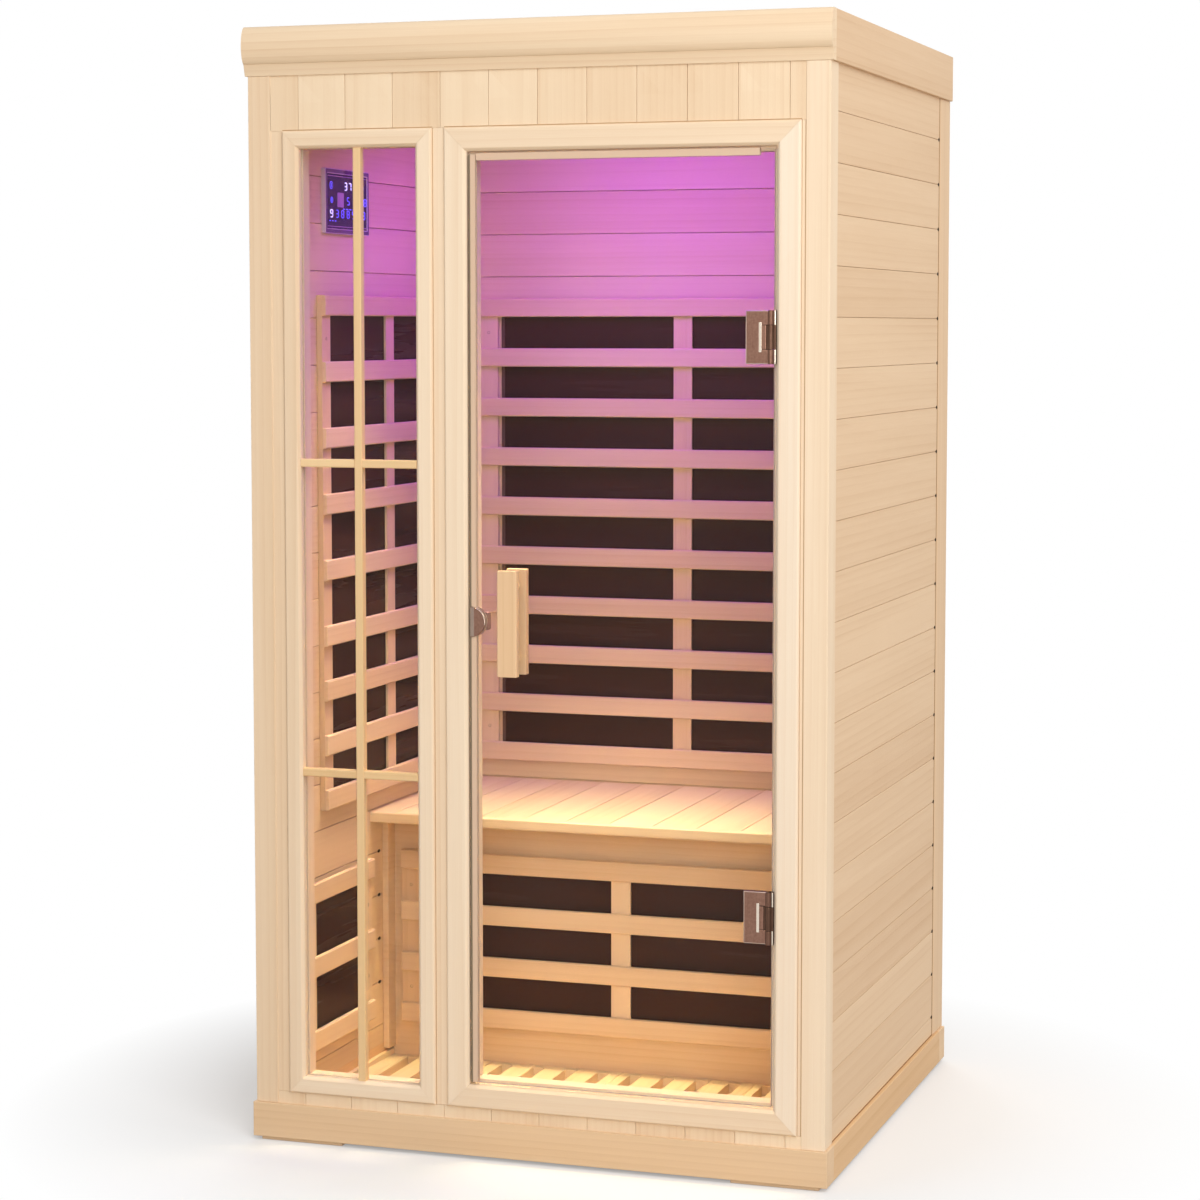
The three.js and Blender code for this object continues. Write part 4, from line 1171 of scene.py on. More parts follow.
@dataclass
class GlassDoor:
    """Frameless glass door with its seals, grip boards and latch clip."""

    grip_thickness: float = 0.015
    grip_edge: float = 0.003
    grip_segments: int = 4
    grip_end: float = 0.0012
    dowel_radius: float = 0.008
    dowel_spacing: float = 0.120
    dowel_ease: float = 0.0008
    latch_plate: float = 0.003
    latch_edge: float = 0.0009
    latch_sides: int = 64
    strip_width: float = 0.0068
    strip_lap: float = 0.001
    strip_rise: float = 0.0004
    strip_setback: float = 0.0003
    strip_short: float = 0.0012
    # Lean and drop of the latch rim faces that take the painted highlight.
    rim_lean: float = 0.15
    rim_below: float = 0.006
    seal_ease: float = 0.0004
    gasket: float = 0.003
    magnet_ease: float = 0.0006

    def build(self) -> None:
        """Makes the seals, grips, latch clip and catch magnet."""
        self.seals()
        glass_low, glass_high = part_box("door_glass")
        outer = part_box("handle_outer")[0].y
        self.grip("handle_outer", outer, (outer + self.grip_thickness, glass_low.y))
        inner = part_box("handle_inner")[1].y - self.grip_thickness
        self.grip("handle_inner", inner, (glass_high.y, inner))
        self.latch()
        magnet = Workpiece.copied("latch_magnet").bevel(sharp, self.magnet_ease).coat(MAGNET)
        magnet.finish("catch_magnet", Body.CABIN, Slot.STEEL, "latch_magnet")

    def seals(self) -> None:
        """Makes the strips on the glass, the side one with its lip towards the jamb darkened as painted
        shadow of the gap.
        """
        for node in ("door_side_seal", "door_top_seal"):
            piece = Workpiece.copied(node).bevel(sharp, self.seal_ease).coat(SEAL)
            if node == "door_side_seal":
                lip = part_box(node)[0].x + self.gasket
                piece.divide((lip, 0, 0), (1, 0, 0))
                # The outer lip is painted shadow of the gap beside the jamb.
                piece.coat(SHADOW_LIP_COAT, lambda face: face.calc_center_median().x < lip)
            piece.finish(f"{node}_strip", Body.DOOR, Slot.SEAL, node)

    def grip(self, node: str, front: float, dowel: Span) -> None:
        """Makes one grip board on its two dowels.

        Args:
            node: solid that it stands for.
            front: Y of the board's front face.
            dowel: Y of the two ends of its dowels.
        """
        low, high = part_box(node)
        depth = (front, front + self.grip_thickness)
        board = Workpiece.block((low.x, high.x), depth, (low.z, high.z))
        board.bevel(runs(Axis.Z), self.grip_edge, self.grip_segments)
        board.bevel(both(sharp, other(runs(Axis.Z))), self.grip_end)
        parts = [board.timber(Tone.GRIP, Axis.Z)]
        middle = (low + high) / 2
        for height in about(middle.z, self.dowel_spacing / 2):
            end = (middle.x, dowel[0], height)
            pin = Workpiece.rod(Axis.Y, end, dowel[1] - dowel[0], self.dowel_radius)
            pin.bevel(lies(Axis.Y, *dowel), self.dowel_ease, 1)
            parts.append(pin.timber(Tone.BENCH, Axis.Y))
        Workpiece.joined(parts).finish(f"{node}_board", Body.DOOR, Slot.WOOD_PALE, node)

    def half_disc(self, start: float, end: float, left: float) -> Workpiece:
        """A half-round layer of the latch clip.

        Args:
            start: Y of its front.
            end: Y of its back.
            left: X that it is sawn off at.

        Returns:
            The layer.
        """
        low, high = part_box("latch_clip")
        size = high - low
        disc = Workpiece.rod(Axis.Y, (0, start, 0), end - start, 1.0, self.latch_sides)
        disc.stretch((size.x, 1.0, size.z / 2)).shift((low.x, 0, (low.z + high.z) / 2))
        return disc.divide((left, 0, 0), (-1, 0, 0), keep=False)

    def latch(self) -> None:
        """Makes the half-round clip: two plates with a painted highlight on the upper right of their
        rims, their pads on the glass and a flat edge strip.
        """
        low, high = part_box("latch_clip")
        glass_low, glass_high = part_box("door_glass")
        seal_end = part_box("door_side_seal")[1].x
        middle = (low.z + high.z) / 2
        front, back = low.y + self.latch_plate, high.y - self.latch_plate

        def rim(part: bmesh.types.BMFace) -> bool:
            """True for a face of the rounded rim on its upper right side, which takes the painted
            highlight.
            """
            height = part.calc_center_median().z
            return part.normal.x > self.rim_lean and height > middle - self.rim_below

        parts = []
        for start, end, face in ((low.y, front, low.y), (back, high.y, high.y)):
            plate = self.half_disc(start, end, low.x).coat(BRONZE)
            plate.bevel(both(sharp, lies(Axis.Y, face)), self.latch_edge)
            # The upper right of each plate's rim takes the painted highlight.
            parts.append(plate.coat(PAINTED_HIGHLIGHT, rim))
        for start, end in ((front, glass_low.y), (glass_high.y, back)):
            parts.append(self.half_disc(start, end, seal_end).coat(PAD))
        rise = low.y - self.strip_rise
        strip = Workpiece.block(
            (low.x + self.strip_setback, low.x + self.strip_width),
            (rise, low.y + self.strip_lap),
            (low.z + self.strip_short, high.z - self.strip_short),
        )
        strip.bevel(both(sharp, lies(Axis.Y, rise)), self.strip_rise)
        clip = Workpiece.joined([*parts, strip.coat(EDGE_BRONZE)])
        clip.finish("latch_clip_plates", Body.DOOR, Slot.BRONZE, "latch_clip")

    def dress(self) -> None:
        """Gives the door its glass."""
        dress("door_glass", GLASS)


@dataclass
class Hinge:
    """One door hinge: clamp plates with barrels on the glass, a leaf with the pin on the frame."""

    name: str
    axis_x: float = 0.409
    axis_y: float = -0.450
    plate_width: float = 0.043
    plate_front: float = 0.003
    plate_back: float = 0.006
    barrel: float = 0.005
    pin: float = 0.002
    pin_ease: float = 0.0004
    pin_sides: int = 20
    knuckle: float = 0.0198
    clearance: float = 0.0003
    notch: float = 0.020
    cover: float = 0.011
    cover_sunk: float = 0.0005
    tray: float = 0.0012
    tray_ease: float = 0.0003
    slack: float = 0.0006
    lap: float = 0.001
    strip_width: float = 0.0050
    strip_reach: float = 0.024
    strip_rise: float = 0.0008
    strip_ease: float = 0.0006
    strip_segments: int = 3
    edge: float = 0.0008
    # Width of the rounded rims; the plate's rim faces within these normals take the painted highlight.
    rim: float = 0.0017
    rim_normals: Span = (-0.98, -0.05)
    # Normal below which the jamb plate's front edge takes the painted highlight.
    bright_normal: float = -0.5

    def build(self) -> None:
        """Makes both leaves."""
        self.door_leaf()
        self.frame_leaf()

    def door_leaf(self) -> None:
        """Makes the clamp plate with its strip in painted highlight, its two barrels darkened as
        painted shade, the tray in the notch dark as painted shade, and the plate behind the glass.
        """
        node = f"hinge_{self.name}_door_leaf"
        low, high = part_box(node)
        middle = (low.z + high.z) / 2
        under, over = about(middle, self.knuckle)
        inner = self.axis_x - self.notch
        lapped, covered = inner - self.lap, inner + self.cover
        front, back = self.axis_y + self.plate_front, self.axis_y + self.plate_back
        rise = front - self.strip_rise
        inside = about(middle, self.knuckle - self.slack)
        cover = Workpiece.block((lapped, covered), (front + self.cover_sunk, back), inside)
        cover.bevel(both(sharp, lies(Axis.X, covered)), self.rim).coat(BRONZE)
        strip = Workpiece.block(
            (lapped, lapped + self.strip_width),
            (rise, front + self.lap),
            about(middle, self.strip_reach),
        )
        strip.bevel(both(sharp, lies(Axis.Y, rise)), self.strip_ease, self.strip_segments)
        tray = Workpiece.block((covered, self.axis_x - self.lap), (back - self.tray, back), inside)
        tray.bevel(sharp, self.tray_ease, 1).coat(SHADED_BRONZE)
        # The strip is painted highlight, and the tray is painted shade in the notch.
        parts = [self.notched(low.z, high.z), cover, strip.coat(PAINTED_HIGHLIGHT), tray]
        for start, end in ((low.z, under), (over, high.z)):
            # The barrels are darkened as painted shade.
            parts.append(self.round_bar(start, end).coat(SHADED_BARREL))
        clamp = Workpiece.block(
            (self.axis_x - self.plate_width, self.axis_x - self.barrel),
            (high.y - self.plate_front, high.y),
            (low.z, high.z),
        )
        parts.append(clamp.bevel(sharp, self.edge).coat(BRONZE))
        Workpiece.joined(parts).finish(f"{node}_plate", Body.DOOR, Slot.BRONZE, node)

    def round_bar(self, start: float, end: float) -> Workpiece:
        """A barrel on the hinge's axis between two heights, with its ends eased."""
        bar = Workpiece.rod(Axis.Z, (self.axis_x, self.axis_y, start), end - start, self.barrel)
        return bar.bevel(lies(Axis.Z, start, end), self.edge)

    def notched(self, low: float, high: float) -> Workpiece:
        """The plate on the front of the glass.

        Args:
            low: height of its lower edge.
            high: height of its upper edge.

        Returns:
            The plate, with ears above and below the notch and a painted highlight on its rim.
        """
        middle, inner = (low + high) / 2, self.axis_x - self.notch
        front, back = self.axis_y + self.plate_front, self.axis_y + self.plate_back
        left, reach = self.axis_x - self.plate_width, (high - low) / 2
        plate = Workpiece.block((left, inner), (front, back), (low, high))
        for height in about(middle, self.knuckle):
            plate.divide((0, 0, height), (0, 0, 1))

        def ear(face: bmesh.types.BMFace) -> bool:
            """True for the parts of the plate's right edge above and below the notch."""
            height = face.calc_center_median().z
            return lies(Axis.X, inner)(face) and abs(height - middle) > self.knuckle

        plate.extrude(ear, (self.notch, 0, 0)).coat(BRONZE)
        plate.bevel(both(sharp, lies(Axis.Y, front)), self.rim)

        def highlit_rim(face: bmesh.types.BMFace) -> bool:
            """True for the rounded rim of the plate's front, away from the notch, which takes the
            painted highlight.
            """
            centre = face.calc_center_median()
            outer = centre.x < left + self.rim or abs(centre.z - middle) > reach - self.rim
            least, most = self.rim_normals
            return outer and least < face.normal.y < most

        # The rim takes a painted highlight.
        return plate.coat(RIM_HIGHLIGHT, highlit_rim)

    def frame_leaf(self) -> None:
        """Makes the jamb plate with a painted highlight on its front edge, the middle knuckle and the
        pin, all darkened as painted shade.
        """
        node = f"hinge_{self.name}_frame_leaf"
        low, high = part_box(node)
        middle = (low.z + high.z) / 2
        left = self.axis_x + self.barrel + self.clearance
        proud = self.axis_y - self.lap
        plate = Workpiece.block((left, high.x), (proud, high.y), (low.z, high.z))
        for height in about(middle, self.knuckle):
            plate.divide((0, 0, height), (0, 0, 1))
        plate.bevel(sharp, self.edge).coat(SHADED_BRONZE)

        def bright(face: bmesh.types.BMFace) -> bool:
            """True for the front edge above and below the knuckle, which takes the painted highlight.
            """
            height = face.calc_center_median().z
            return face.normal.y < self.bright_normal and abs(height - middle) > self.knuckle

        # The front edge is painted highlight.
        plate.coat(PAINTED_HIGHLIGHT, bright)
        inside = about(middle, self.knuckle - self.clearance)
        depth = (proud, self.axis_y + self.plate_front)
        web = Workpiece.block((self.axis_x, left + self.lap), depth, inside)
        web.bevel(sharp, self.edge)
        knuckle = self.round_bar(*inside)
        bottom = (self.axis_x, self.axis_y, low.z)
        pin = Workpiece.rod(Axis.Z, bottom, high.z - low.z, self.pin, self.pin_sides)
        pin.bevel(lies(Axis.Z, low.z, high.z), self.pin_ease, 1)
        # The web, knuckle and pin are darkened as painted shade.
        parts = [plate, *(part.coat(SHADED_BRONZE) for part in (web, knuckle, pin))]
        Workpiece.joined(parts).finish(f"{node}_plate", Body.CABIN, Slot.BRONZE, node)


# Inside


@dataclass
class Bench:
    """Plank seat behind a rounded front lipping."""

    pitch: float = 0.082
    lipping: float = 0.009
    nosing: float = 0.0035
    nosing_segments: int = 4
    joint: float = 0.0003
    gap: float = 0.0016

    def build(self) -> None:
        """Makes the lipping and one plank, copies the plank across and saws the end ones off."""
        low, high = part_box("bench_seat")
        behind, height = low.y + self.lipping, (low.z, high.z)
        lipping = Workpiece.block((low.x, high.x), (low.y, behind), height)
        nosing = both(runs(Axis.X), lies(Axis.Y, low.y))
        lipping.bevel(nosing, self.nosing, self.nosing_segments).timber(Tone.BENCH, Axis.X)
        sides = (self.gap / 2, self.pitch - self.gap / 2)
        plank = Workpiece.block(sides, (behind, high.y), height)
        plank.bevel(both(runs(Axis.Y), lies(Axis.Z, high.z)), self.joint, 1)
        plank.coat(Timber(Tone.BENCH, Axis.Y))
        reach = math.ceil(high.x / self.pitch)
        planks = plank.spread((step * self.pitch, 0, 0) for step in range(-reach, reach))
        planks[0].divide(low, (-1, 0, 0), keep=False)
        planks[-1].divide(high, (1, 0, 0), keep=False)
        for piece in planks:
            piece.number()
        seat = Workpiece.joined([lipping, *planks])
        seat.finish("bench_planks", Body.CABIN, Slot.WOOD_PALE, "bench_seat")


@dataclass
class Floor:
    """Slotted duckboard with a low strip along each side wall."""

    boards: Boards = Boards(Axis.X, 0.0846, 0.0)
    top: float = 0.038
    ease: float = 0.0008

    def build(self) -> None:
        """Makes the duckboard with the edges of its top eased."""
        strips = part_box("floor_duckboard")[1].z
        piece = Workpiece.copied("floor_duckboard")
        upper = both(sharp, lies(Axis.Z, self.top, strips))
        piece.bevel(both(upper, lambda edge: edge.is_convex), self.ease)
        piece.coat(Timber(Tone.BENCH, Axis.Y, self.boards))
        piece.finish("floor_boards", Body.CABIN, Slot.WOOD_PALE, "floor_duckboard")


@dataclass
class HeaterSet:
    """Flat heater behind a slatted guard, built to face -Y and hung on its wall."""

    name: str
    facing: Facing
    openings: tuple[float, ...]
    middle_stile: bool = True
    slat_height: float = 0.036
    slat_back: float = -0.010
    slat_edge: float = 0.003
    slat_segments: int = 4
    slat_end: float = 0.0008
    stile_width: float = 0.037
    stile_front: float = -0.010
    stile_ease: float = 0.001
    middle_back: float = -0.0045
    screw_radius: float = 0.0028
    screw_length: float = 0.001
    screw_proud: float = 0.0003
    screw_rim: float = 0.0007
    screw_sunk: float = 0.0005
    screw_sides: int = 14
    border: float = 0.006
    border_ease: float = 0.0006
    panel_sunk: float = 0.0004
    low: Vector = field(init=False)
    high: Vector = field(init=False)

    def __post_init__(self) -> None:
        """Takes the place on the wall from the solid of the guard."""
        self.low, self.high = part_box(f"{self.name}_guard")

    @property
    def across(self) -> Axis:
        """Axis that the slats run along once the set is hung."""
        return Axis.X if self.facing is Facing.FRONT else Axis.Y

    @property
    def outward(self) -> Axis:
        """Axis that the set faces along once it is hung."""
        return Axis.Y if self.facing is Facing.FRONT else Axis.X

    @property
    def size(self) -> Vector:
        """Width, depth and height of the guard."""
        size = self.high - self.low
        return Vector((size[self.across.value], size[self.outward.value], size.z))

    @property
    def wall(self) -> Vector:
        """Middle of the guard's foot, on the wall.

        Returns:
            The point.
        """
        point = (self.low + self.high) / 2
        side = self.low if self.facing is Facing.RIGHT else self.high
        point.z = self.low.z
        point[self.outward.value] = side[self.outward.value]
        return point

    @property
    def reach(self) -> float:
        """Distance of an end stile's middle from the guard's middle."""
        return (self.size.x - self.stile_width) / 2

    def tops(self) -> list[float]:
        """Heights of the slats' top edges.

        Returns:
            The heights, from the top one down.
        """
        slats = self.slat_height * (len(self.openings) + 1)
        scale = (self.size.z - slats) / sum(self.openings)
        steps = [self.slat_height + opening * scale for opening in self.openings]
        return [self.size.z - drop for drop in itertools.accumulate(steps, initial=0.0)]

    def build(self) -> None:
        """Makes the guard and the heater."""
        node = f"{self.name}_guard"
        guard = Workpiece.joined([*self.slats(), *self.stiles(), *self.screws()])
        guard.shift(self.wall, self.facing.value)
        guard.finish(f"{node}_timber", Body.CABIN, Slot.WOOD, node)
        self.heater()

    def slats(self) -> list[Workpiece]:
        """One rounded slat, copied to each row.

        Returns:
            The slats.
        """
        ends, front = about(0.0, self.size.x / 2), -self.size.y
        slat = Workpiece.block(ends, (front, self.slat_back), (-self.slat_height, 0))
        slat.bevel(both(runs(Axis.X), lies(Axis.Y, front)), self.slat_edge, self.slat_segments)
        slat.bevel(both(sharp, lies(Axis.X, *ends)), self.slat_end, 1)
        slat.coat(Timber(Tone.LINING, self.across))
        return [row.number() for row in slat.spread((0, 0, top) for top in self.tops())]

    def stiles(self) -> list[Workpiece]:
        """The end stiles on the wall, and a shallower one in front of the heater.

        Returns:
            The stiles.
        """
        places = [(-self.reach, 0.0), (self.reach, 0.0)]
        if self.middle_stile:
            places.append((0.0, self.middle_back))
        stiles = []
        for centre, back in places:
            width = about(centre, self.stile_width / 2)
            stile = Workpiece.block(width, (self.stile_front, back), (0, self.size.z))
            stile.bevel(both(runs(Axis.Z), sharp), self.stile_ease)
            stiles.append(stile.timber(Tone.LINING, Axis.Z))
        return stiles

    def screws(self) -> list[Workpiece]:
        """Countersunk screws through the end stiles, in the top and the bottom opening.

        Returns:
            The screws.
        """
        tops = self.tops()
        gaps = [(top - self.slat_height + below) / 2 for top, below in itertools.pairwise(tops)]
        face = self.stile_front - self.screw_proud
        size = (self.screw_length, self.screw_radius, self.screw_sides)
        screw = Workpiece.rod(Axis.Y, (0, face, 0), *size)
        screw.inset(lies(Axis.Y, face), self.screw_rim, -self.screw_sunk).coat(SCREW)
        places = itertools.product((-self.reach, self.reach), (gaps[-1], gaps[0]))
        return screw.spread((x, 0, z) for x, z in places)

    def heater(self) -> None:
        """Makes the flat heater with its edge binding."""
        node = f"{self.name}_heater"
        low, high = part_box(node)
        right = self.facing is Facing.RIGHT
        front = (high if right else low)[self.outward.value]
        sunk = front - self.panel_sunk if right else front + self.panel_sunk
        panel = Workpiece.block(*zip(low, high)).coat(HEATER_EDGE)
        panel.bevel(sharp, self.border_ease)
        panel.inset(lies(self.outward, front), self.border, -self.panel_sunk)
        panel.coat(HEATER_FACE, lies(self.outward, sunk))
        panel.finish(f"{node}_panel", Body.CABIN, Slot.HEATER, node)


class Segment(Enum):
    """Bar of a seven-bar figure, as its middle and whether it stands upright."""

    TOP = (0.0, 1.0, False)
    MIDDLE = (0.0, 0.0, False)
    BOTTOM = (0.0, -1.0, False)
    UPPER_LEFT = (-0.5, 0.5, True)
    UPPER_RIGHT = (0.5, 0.5, True)
    LOWER_LEFT = (-0.5, -0.5, True)
    LOWER_RIGHT = (0.5, -0.5, True)


class Row(Enum):
    """Height of a row of marks above the middle of the control panel."""

    TOP = 0.0275
    MIDDLE = 0.002
    BOTTOM = -0.0216


FIGURES = {
    "0": "TOP BOTTOM UPPER_LEFT UPPER_RIGHT LOWER_LEFT LOWER_RIGHT",
    "3": "TOP MIDDLE BOTTOM UPPER_RIGHT LOWER_RIGHT",
    "5": "TOP MIDDLE BOTTOM UPPER_LEFT LOWER_RIGHT",
    "7": "TOP UPPER_RIGHT LOWER_RIGHT",
    "8": "TOP MIDDLE BOTTOM UPPER_LEFT UPPER_RIGHT LOWER_LEFT LOWER_RIGHT",
    "9": "TOP MIDDLE BOTTOM UPPER_LEFT UPPER_RIGHT LOWER_RIGHT",
}
BRIGHT_FIGURES = (("3", -0.006, Row.TOP), ("7", 0.013, Row.TOP), ("9", -0.069, Row.BOTTOM))
DIM_FIGURES = (
    ("5", 0.005, Row.MIDDLE),
    ("0", 0.069, Row.MIDDLE),
    ("8", 0.081, Row.MIDDLE),
    ("3", -0.044, Row.BOTTOM),
    ("8", -0.020, Row.BOTTOM),
    ("8", 0.004, Row.BOTTOM),
    ("5", 0.028, Row.BOTTOM),
    ("5", 0.052, Row.BOTTOM),
    ("3", 0.075, Row.BOTTOM),
)
KEYS = ((-0.070, Row.TOP, 0.0070), (-0.068, Row.MIDDLE, 0.0056), (0.068, Row.TOP, 0.0066))
DASHES = (
    ((-0.014, 0.0, 0.014, 0.028), -0.0125, (0.009, 0.0016)),
    ((-0.076, -0.064, -0.052), -0.0345, (0.006, 0.0018)),
)


@dataclass
class ControlPanel:
    """Touch panel on the left lining: case, dark border and display, lit figures and key marks."""

    rim: float = 0.009
    recess: float = 0.0012
    corner: float = 0.004
    corner_segments: int = 4
    edge: float = 0.0012
    figure: Point = (0.0095, 0.0125)
    bars: Point = (0.0028, 0.0018)
    bar_end: float = 0.4
    mark_depth: float = 0.0004
    ring_edge: float = 0.0016
    ring_sides: int = 28
    stroke: float = 0.0036
    pane: Point = (0.028, 0.0255)
    pane_middle: Point = (-0.029, 0.003)
    pane_corner: float = 0.002
    line: Point = (0.170, 0.0012)
    line_heights: Span = (-0.044, 0.044)
    low: Vector = field(init=False)
    high: Vector = field(init=False)

    def __post_init__(self) -> None:
        """Takes the panel's place from its solid."""
        self.low, self.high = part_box("control_panel")

    @property
    def wall(self) -> Point:
        """Middle of the panel's back on the lining."""
        return (self.low.x, (self.low.y + self.high.y) / 2, (self.low.z + self.high.z) / 2)

    @property
    def front(self) -> float:
        """Depth of the case's front, in the frame the panel is built in."""
        return self.low.x - self.high.x

    @property
    def face(self) -> float:
        """Depth of the display's face, in the frame the panel is built in."""
        return self.front + self.recess

    def build(self) -> None:
        """Makes the panel and the marks on it."""
        half = (self.high - self.low) / 2
        width, height = about(0.0, half.y), about(0.0, half.z)
        panel = Workpiece.block(width, (self.front, 0), height).coat(BEZEL)
        front = lies(Axis.Y, self.front)
        panel.inset(front, self.rim)
        panel.extrude(both(front, other(self.outer)), (0, self.recess, 0))
        corner = both(runs(Axis.Y), lies(Axis.X, *width))
        panel.bevel(corner, self.corner, self.corner_segments)
        panel.bevel(both(sharp, front), self.edge)
        panel.coat(BORDER, front).coat(DISPLAY, lies(Axis.Y, self.face))
        panel.shift(self.wall, Facing.RIGHT.value)
        panel.finish("control_panel_case", Body.CABIN, Slot.CONTROL, "control_panel")
        self.marks("control_figures", BRIGHT, self.figures(BRIGHT_FIGURES))
        self.marks("control_keys", DIM, [*self.figures(DIM_FIGURES), *self.keys()])
        self.marks("control_window", WINDOW_MARK, self.window())

    def outer(self, face: bmesh.types.BMFace) -> bool:
        """True for a face that reaches the case's left or right edge."""
        reach = (self.high.y - self.low.y) / 2
        return any(abs(vertex.co.x) > reach - NEAR for vertex in face.verts)

    def marks(self, label: str, finish: Lit, parts: list[Workpiece]) -> None:
        """Joins lit marks into one piece and hangs it on the panel."""
        piece = Workpiece.joined(parts).coat(finish).shift(self.wall, Facing.RIGHT.value)
        piece.finish(label, Body.CABIN, Slot.CONTROL)

    def mark(self, centre: Point, size: Point) -> Workpiece:
        """A thin plate on the display, by its middle and its size across and up."""
        width, height = (about(middle, length / 2) for middle, length in zip(centre, size))
        return Workpiece.block(width, (self.face - self.mark_depth, self.face), height)

    def figures(self, places: Sequence[tuple[str, float, Row]]) -> list[Workpiece]:
        """Seven-bar figures.

        Args:
            places: each figure with its place across and its row.

        Returns:
            The bars of all the figures.
        """
        width, reach = self.figure[0], self.figure[1] / 2
        stand, lie = self.bars
        cut = lie * self.bar_end
        moves = {False: [], True: []}
        for figure, x, row in places:
            for name in FIGURES[figure].split():
                across, up, stands = Segment[name].value
                moves[stands].append((x + across * width, 0, row.value + up * reach))
        level = self.mark((0, 0), (width - stand * self.bar_end, lie)).bevel(runs(Axis.Y), cut, 1)
        upright = self.mark((0, 0), (stand, reach - cut)).bevel(runs(Axis.Y), cut, 1)
        return [*level.spread(moves[False]), *upright.spread(moves[True])]

    def keys(self) -> list[Workpiece]:
        """Rings and strokes of the touch keys at both ends of the rows, and two rows of dashes.

        Returns:
            The marks.
        """
        made = []
        for x, row, radius in KEYS:
            made.append(self.ring((x, row.value), radius))
            made.append(self.mark((x, row.value), (self.stroke, radius)))
        for places, height, size in DASHES:
            made += [self.mark((x, height), size) for x in places]
        return made

    def ring(self, centre: Point, radius: float) -> Workpiece:
        """A flat ring on the display.

        Args:
            centre: place of its middle across and up.
            radius: outer radius.

        Returns:
            The ring.
        """
        front = self.face - self.mark_depth
        end = (centre[0], front, centre[1])
        ring = Workpiece.rod(Axis.Y, end, self.mark_depth, radius, self.ring_sides)
        ring.inset(lies(Axis.Y, front), self.ring_edge)
        return ring.edit("FACE", sided(self.ring_sides), bpy.ops.mesh.delete, type="FACE")

    def window(self) -> list[Workpiece]:
        """The pale lit window and the fine lines above and below the display."""
        pane = self.mark(self.pane_middle, self.pane).bevel(runs(Axis.Y), self.pane_corner)
        return [pane, *(self.mark((0, height), self.line) for height in self.line_heights)]


@dataclass
class CeilingLight:
    """Round coloured light under the ceiling: trim ring, stepped body and ribbed lens."""

    sides: int = 64
    lip: float = 0.004
    lip_segments: int = 4
    trim: float = 0.009
    recess: float = 0.003
    ribs: int = 3
    rib_width: float = 0.012
    rib_height: float = 0.001
    lens_border: float = 0.014

    def build(self) -> None:
        """Makes the light from one disc by insets and steps."""
        low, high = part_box("ceiling_light")
        middle, radius = (low + high) / 2, (high.x - low.x) / 2
        end = (middle.x, middle.y, low.z)
        light = Workpiece.rod(Axis.Z, end, high.z - low.z, radius, self.sides)
        light.coat(TRIM).bevel(lies(Axis.Z, low.z), self.lip, self.lip_segments)
        light.inset(self.disc(low.z), self.trim)
        light.extrude(self.disc(low.z), (0, 0, self.recess))
        top = low.z + self.recess
        for rib in range(self.ribs):
            step = self.disc(top - rib * self.rib_height)
            light.inset(step, self.rib_width).extrude(step, (0, 0, -self.rib_height))

        def lens(face: bmesh.types.BMFace) -> bool:
            """True for a face of the lens, by its distance from the middle."""
            centre = face.calc_center_median()
            return (centre - middle).xy.length < radius - self.lens_border and centre.z < top + NEAR

        light.coat(LENS, lens)
        light.finish("ceiling_light_body", Body.CABIN, Slot.LAMP, "ceiling_light")

    def disc(self, height: float) -> Test:
        """Test for the many-sided face at a height."""
        return both(sided(self.sides), lies(Axis.Z, height))


# Studio


@dataclass(frozen=True)
class Lamp:
    """Soft rectangular lamp, with its power in watts and its beam's spread in degrees."""

    label: str
    at: Point
    size: Point
    power: float
    colour: Colour
    aim: Point = (0.0, 0.0, 0.95)
    spread: float = 180.0

    def build(self) -> None:
        """Adds the lamp, turned to face its aim."""
        light = bpy.data.lights.new(self.label, "AREA")
        light.shape = "RECTANGLE"
        light.size, light.size_y = self.size
        light.energy = self.power
        light.color = self.colour
        light.spread = math.radians(self.spread)
        lamp = bpy.data.objects.new(self.label, light)
        lamp.location = self.at
        way = Vector(self.aim) - Vector(self.at)
        lamp.rotation_euler = way.to_track_quat("-Z", "Y").to_euler()
        bpy.context.scene.collection.objects.link(lamp)


WHITE = (1.0, 1.0, 1.0)
VIOLET = (0.31, 0.03, 1.0)
WARM = (0.95, 0.80, 0.40)
LAMPS = (
    Lamp("key", (2.7, -3.9, 4.8), (3.0, 3.0), 160, (1.0, 0.97, 0.93)),
    Lamp("front", (1.9, -5.8, 1.9), (2.6, 2.6), 118, (1.0, 0.97, 0.94)),
    Lamp("fill", (-5.4, -5.0, 0.9), (3.0, 1.6), 32, (1.0, 0.97, 0.94)),
    Lamp("side", (5.0, 0.4, 2.8), (3.0, 3.0), 85, (1.0, 0.93, 0.84)),
    Lamp("rear", (-1.5, 5.0, 3.2), (3.0, 3.0), 110, (1.0, 0.98, 0.96)),
    Lamp("violet", (0.0, 0.02, 1.78), (0.5, 0.4), 6.2, VIOLET, (0.0, 0.25, 0.7)),
    Lamp("warm", (0.0, -0.23, 1.79), (0.5, 0.1), 5.1, WARM, (0.0, -0.20, 0.0), 60.0),
)


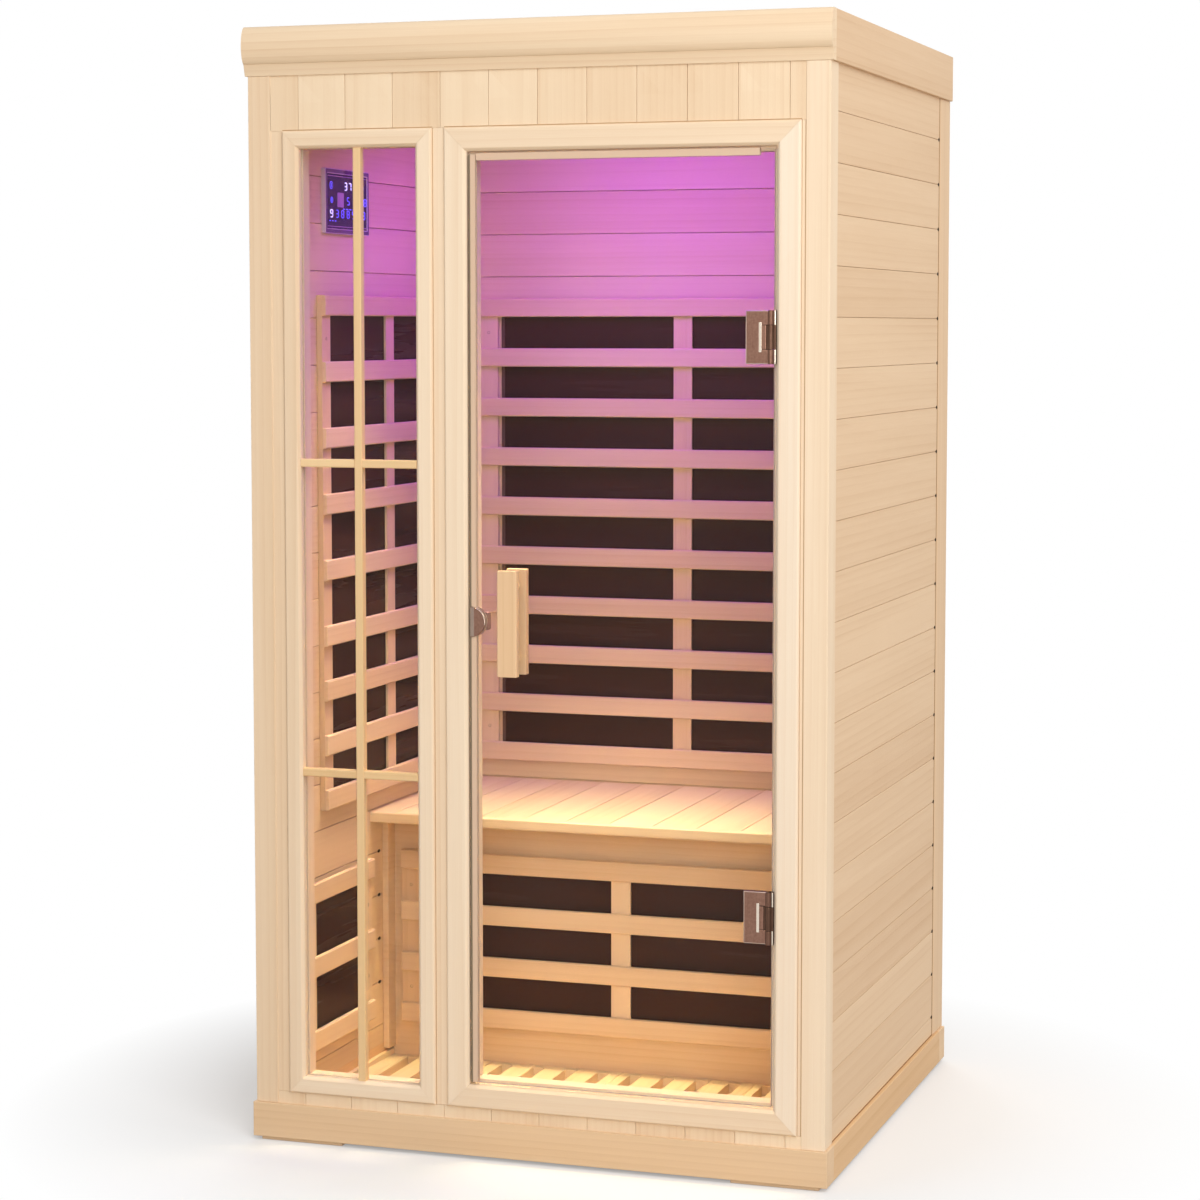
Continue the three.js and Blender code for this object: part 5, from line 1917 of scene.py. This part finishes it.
@dataclass
class Studio:
    """Pale floor, white backdrop, soft lamps, the cabin's own light and the camera."""

    floor_size: float = 30.0
    floor_drop: float = 0.0005
    floor_pale: Colour = (0.93, 0.94, 0.955)
    floor_bounce: Colour = (0.46, 0.40, 0.32)
    fade_start: float = 0.5
    fade_length: float = 0.6
    fade_least: float = 0.3
    ambient: float = 0.30
    eye: Point = (1.6465, -5.0277, 1.3979)
    pitch: float = -0.07775
    yaw: float = 0.32153
    lens: float = 88.835
    sensor: float = 36.0
    shift: float = -0.035

    def build(self) -> None:
        """Makes everything that isn't part of the cabin."""
        self.floor()
        self.world()
        for lamp in LAMPS:
            lamp.build()
        self.camera()

    def floor(self) -> None:
        """Makes the floor, which keeps the shadow near the cabin and fades to white away from it."""
        place = {"size": self.floor_size, "location": (0, 0, -self.floor_drop)}
        plane = Workpiece.primitive(bpy.ops.mesh.primitive_plane_add, **place)
        thing = plane.named("studio_floor")
        shader = Shader.named(thing.name)
        seen = shader.seen()
        reach = shader.vector("LENGTH", shader.place()).also("Value")
        fade = ((reach - self.fade_start) / self.fade_length).within(self.fade_least)
        tone = shader.mix(seen, self.floor_bounce, self.floor_pale)
        pale = shader.node("ShaderNodeBsdfDiffuse", {}, {"Color": tone})
        white = shader.node("ShaderNodeEmission", {}, {"Color": (*WHITE, 1.0)})
        mixed = shader.node("ShaderNodeMixShader", {}, {0: fade * seen, 1: pale, 2: white})
        thing.data.materials.append(shader.end(mixed))

    def world(self) -> None:
        """White where it is seen, and a plain soft light elsewhere."""
        shader = Shader(bpy.data.worlds.new("studio"))
        soft, white = (
            shader.node("ShaderNodeBackground", {}, {"Color": (*WHITE, 1.0), "Strength": strength})
            for strength in (self.ambient, 1.0)
        )
        mixed = shader.node("ShaderNodeMixShader", {}, {0: shader.seen(), 1: soft, 2: white})
        bpy.context.scene.world = shader.end(mixed)

    def camera(self) -> None:
        """Sets the camera at the photograph's view."""
        data = bpy.data.cameras.new("camera")
        data.lens = self.lens
        data.sensor_width = self.sensor
        data.shift_y = self.shift
        camera = bpy.data.objects.new("camera", data)
        camera.location = self.eye
        camera.rotation_euler = (math.pi / 2 + self.pitch, 0.0, self.yaw)
        bpy.context.scene.collection.objects.link(camera)
        bpy.context.scene.camera = camera


def heater_sets() -> list[HeaterSet]:
    """The five heaters with their guards.

    Returns:
        The sets, each with the openings between its slats from the top down.
    """
    side = (0.080,) * 5 + (0.061,) * 3
    return [
        HeaterSet("back", Facing.FRONT, (0.06078,) * 9),
        HeaterSet("left", Facing.RIGHT, side),
        HeaterSet("right", Facing.LEFT, side),
        HeaterSet("leg", Facing.FRONT, (0.060,) * 3),
        HeaterSet("calf", Facing.RIGHT, (0.095,) * 2, middle_stile=False),
    ]


def main() -> None:
    """Builds and dresses the cabin piece by piece."""
    logging.basicConfig(level=logging.INFO, format="%(name)s: %(message)s")
    bpy.context.scene.view_settings.view_transform = "Standard"
    Studio().build()
    for assembly in (Carcass(), Openings(), GlassDoor()):
        assembly.build()
        assembly.dress()
    hinges = (Hinge("lower"), Hinge("upper"))
    for assembly in (*hinges, Bench(), Floor(), *heater_sets(), ControlPanel(), CeilingLight()):
        assembly.build()
    dress("power_unit", CASE)


if __name__ == "__main__":
    main()
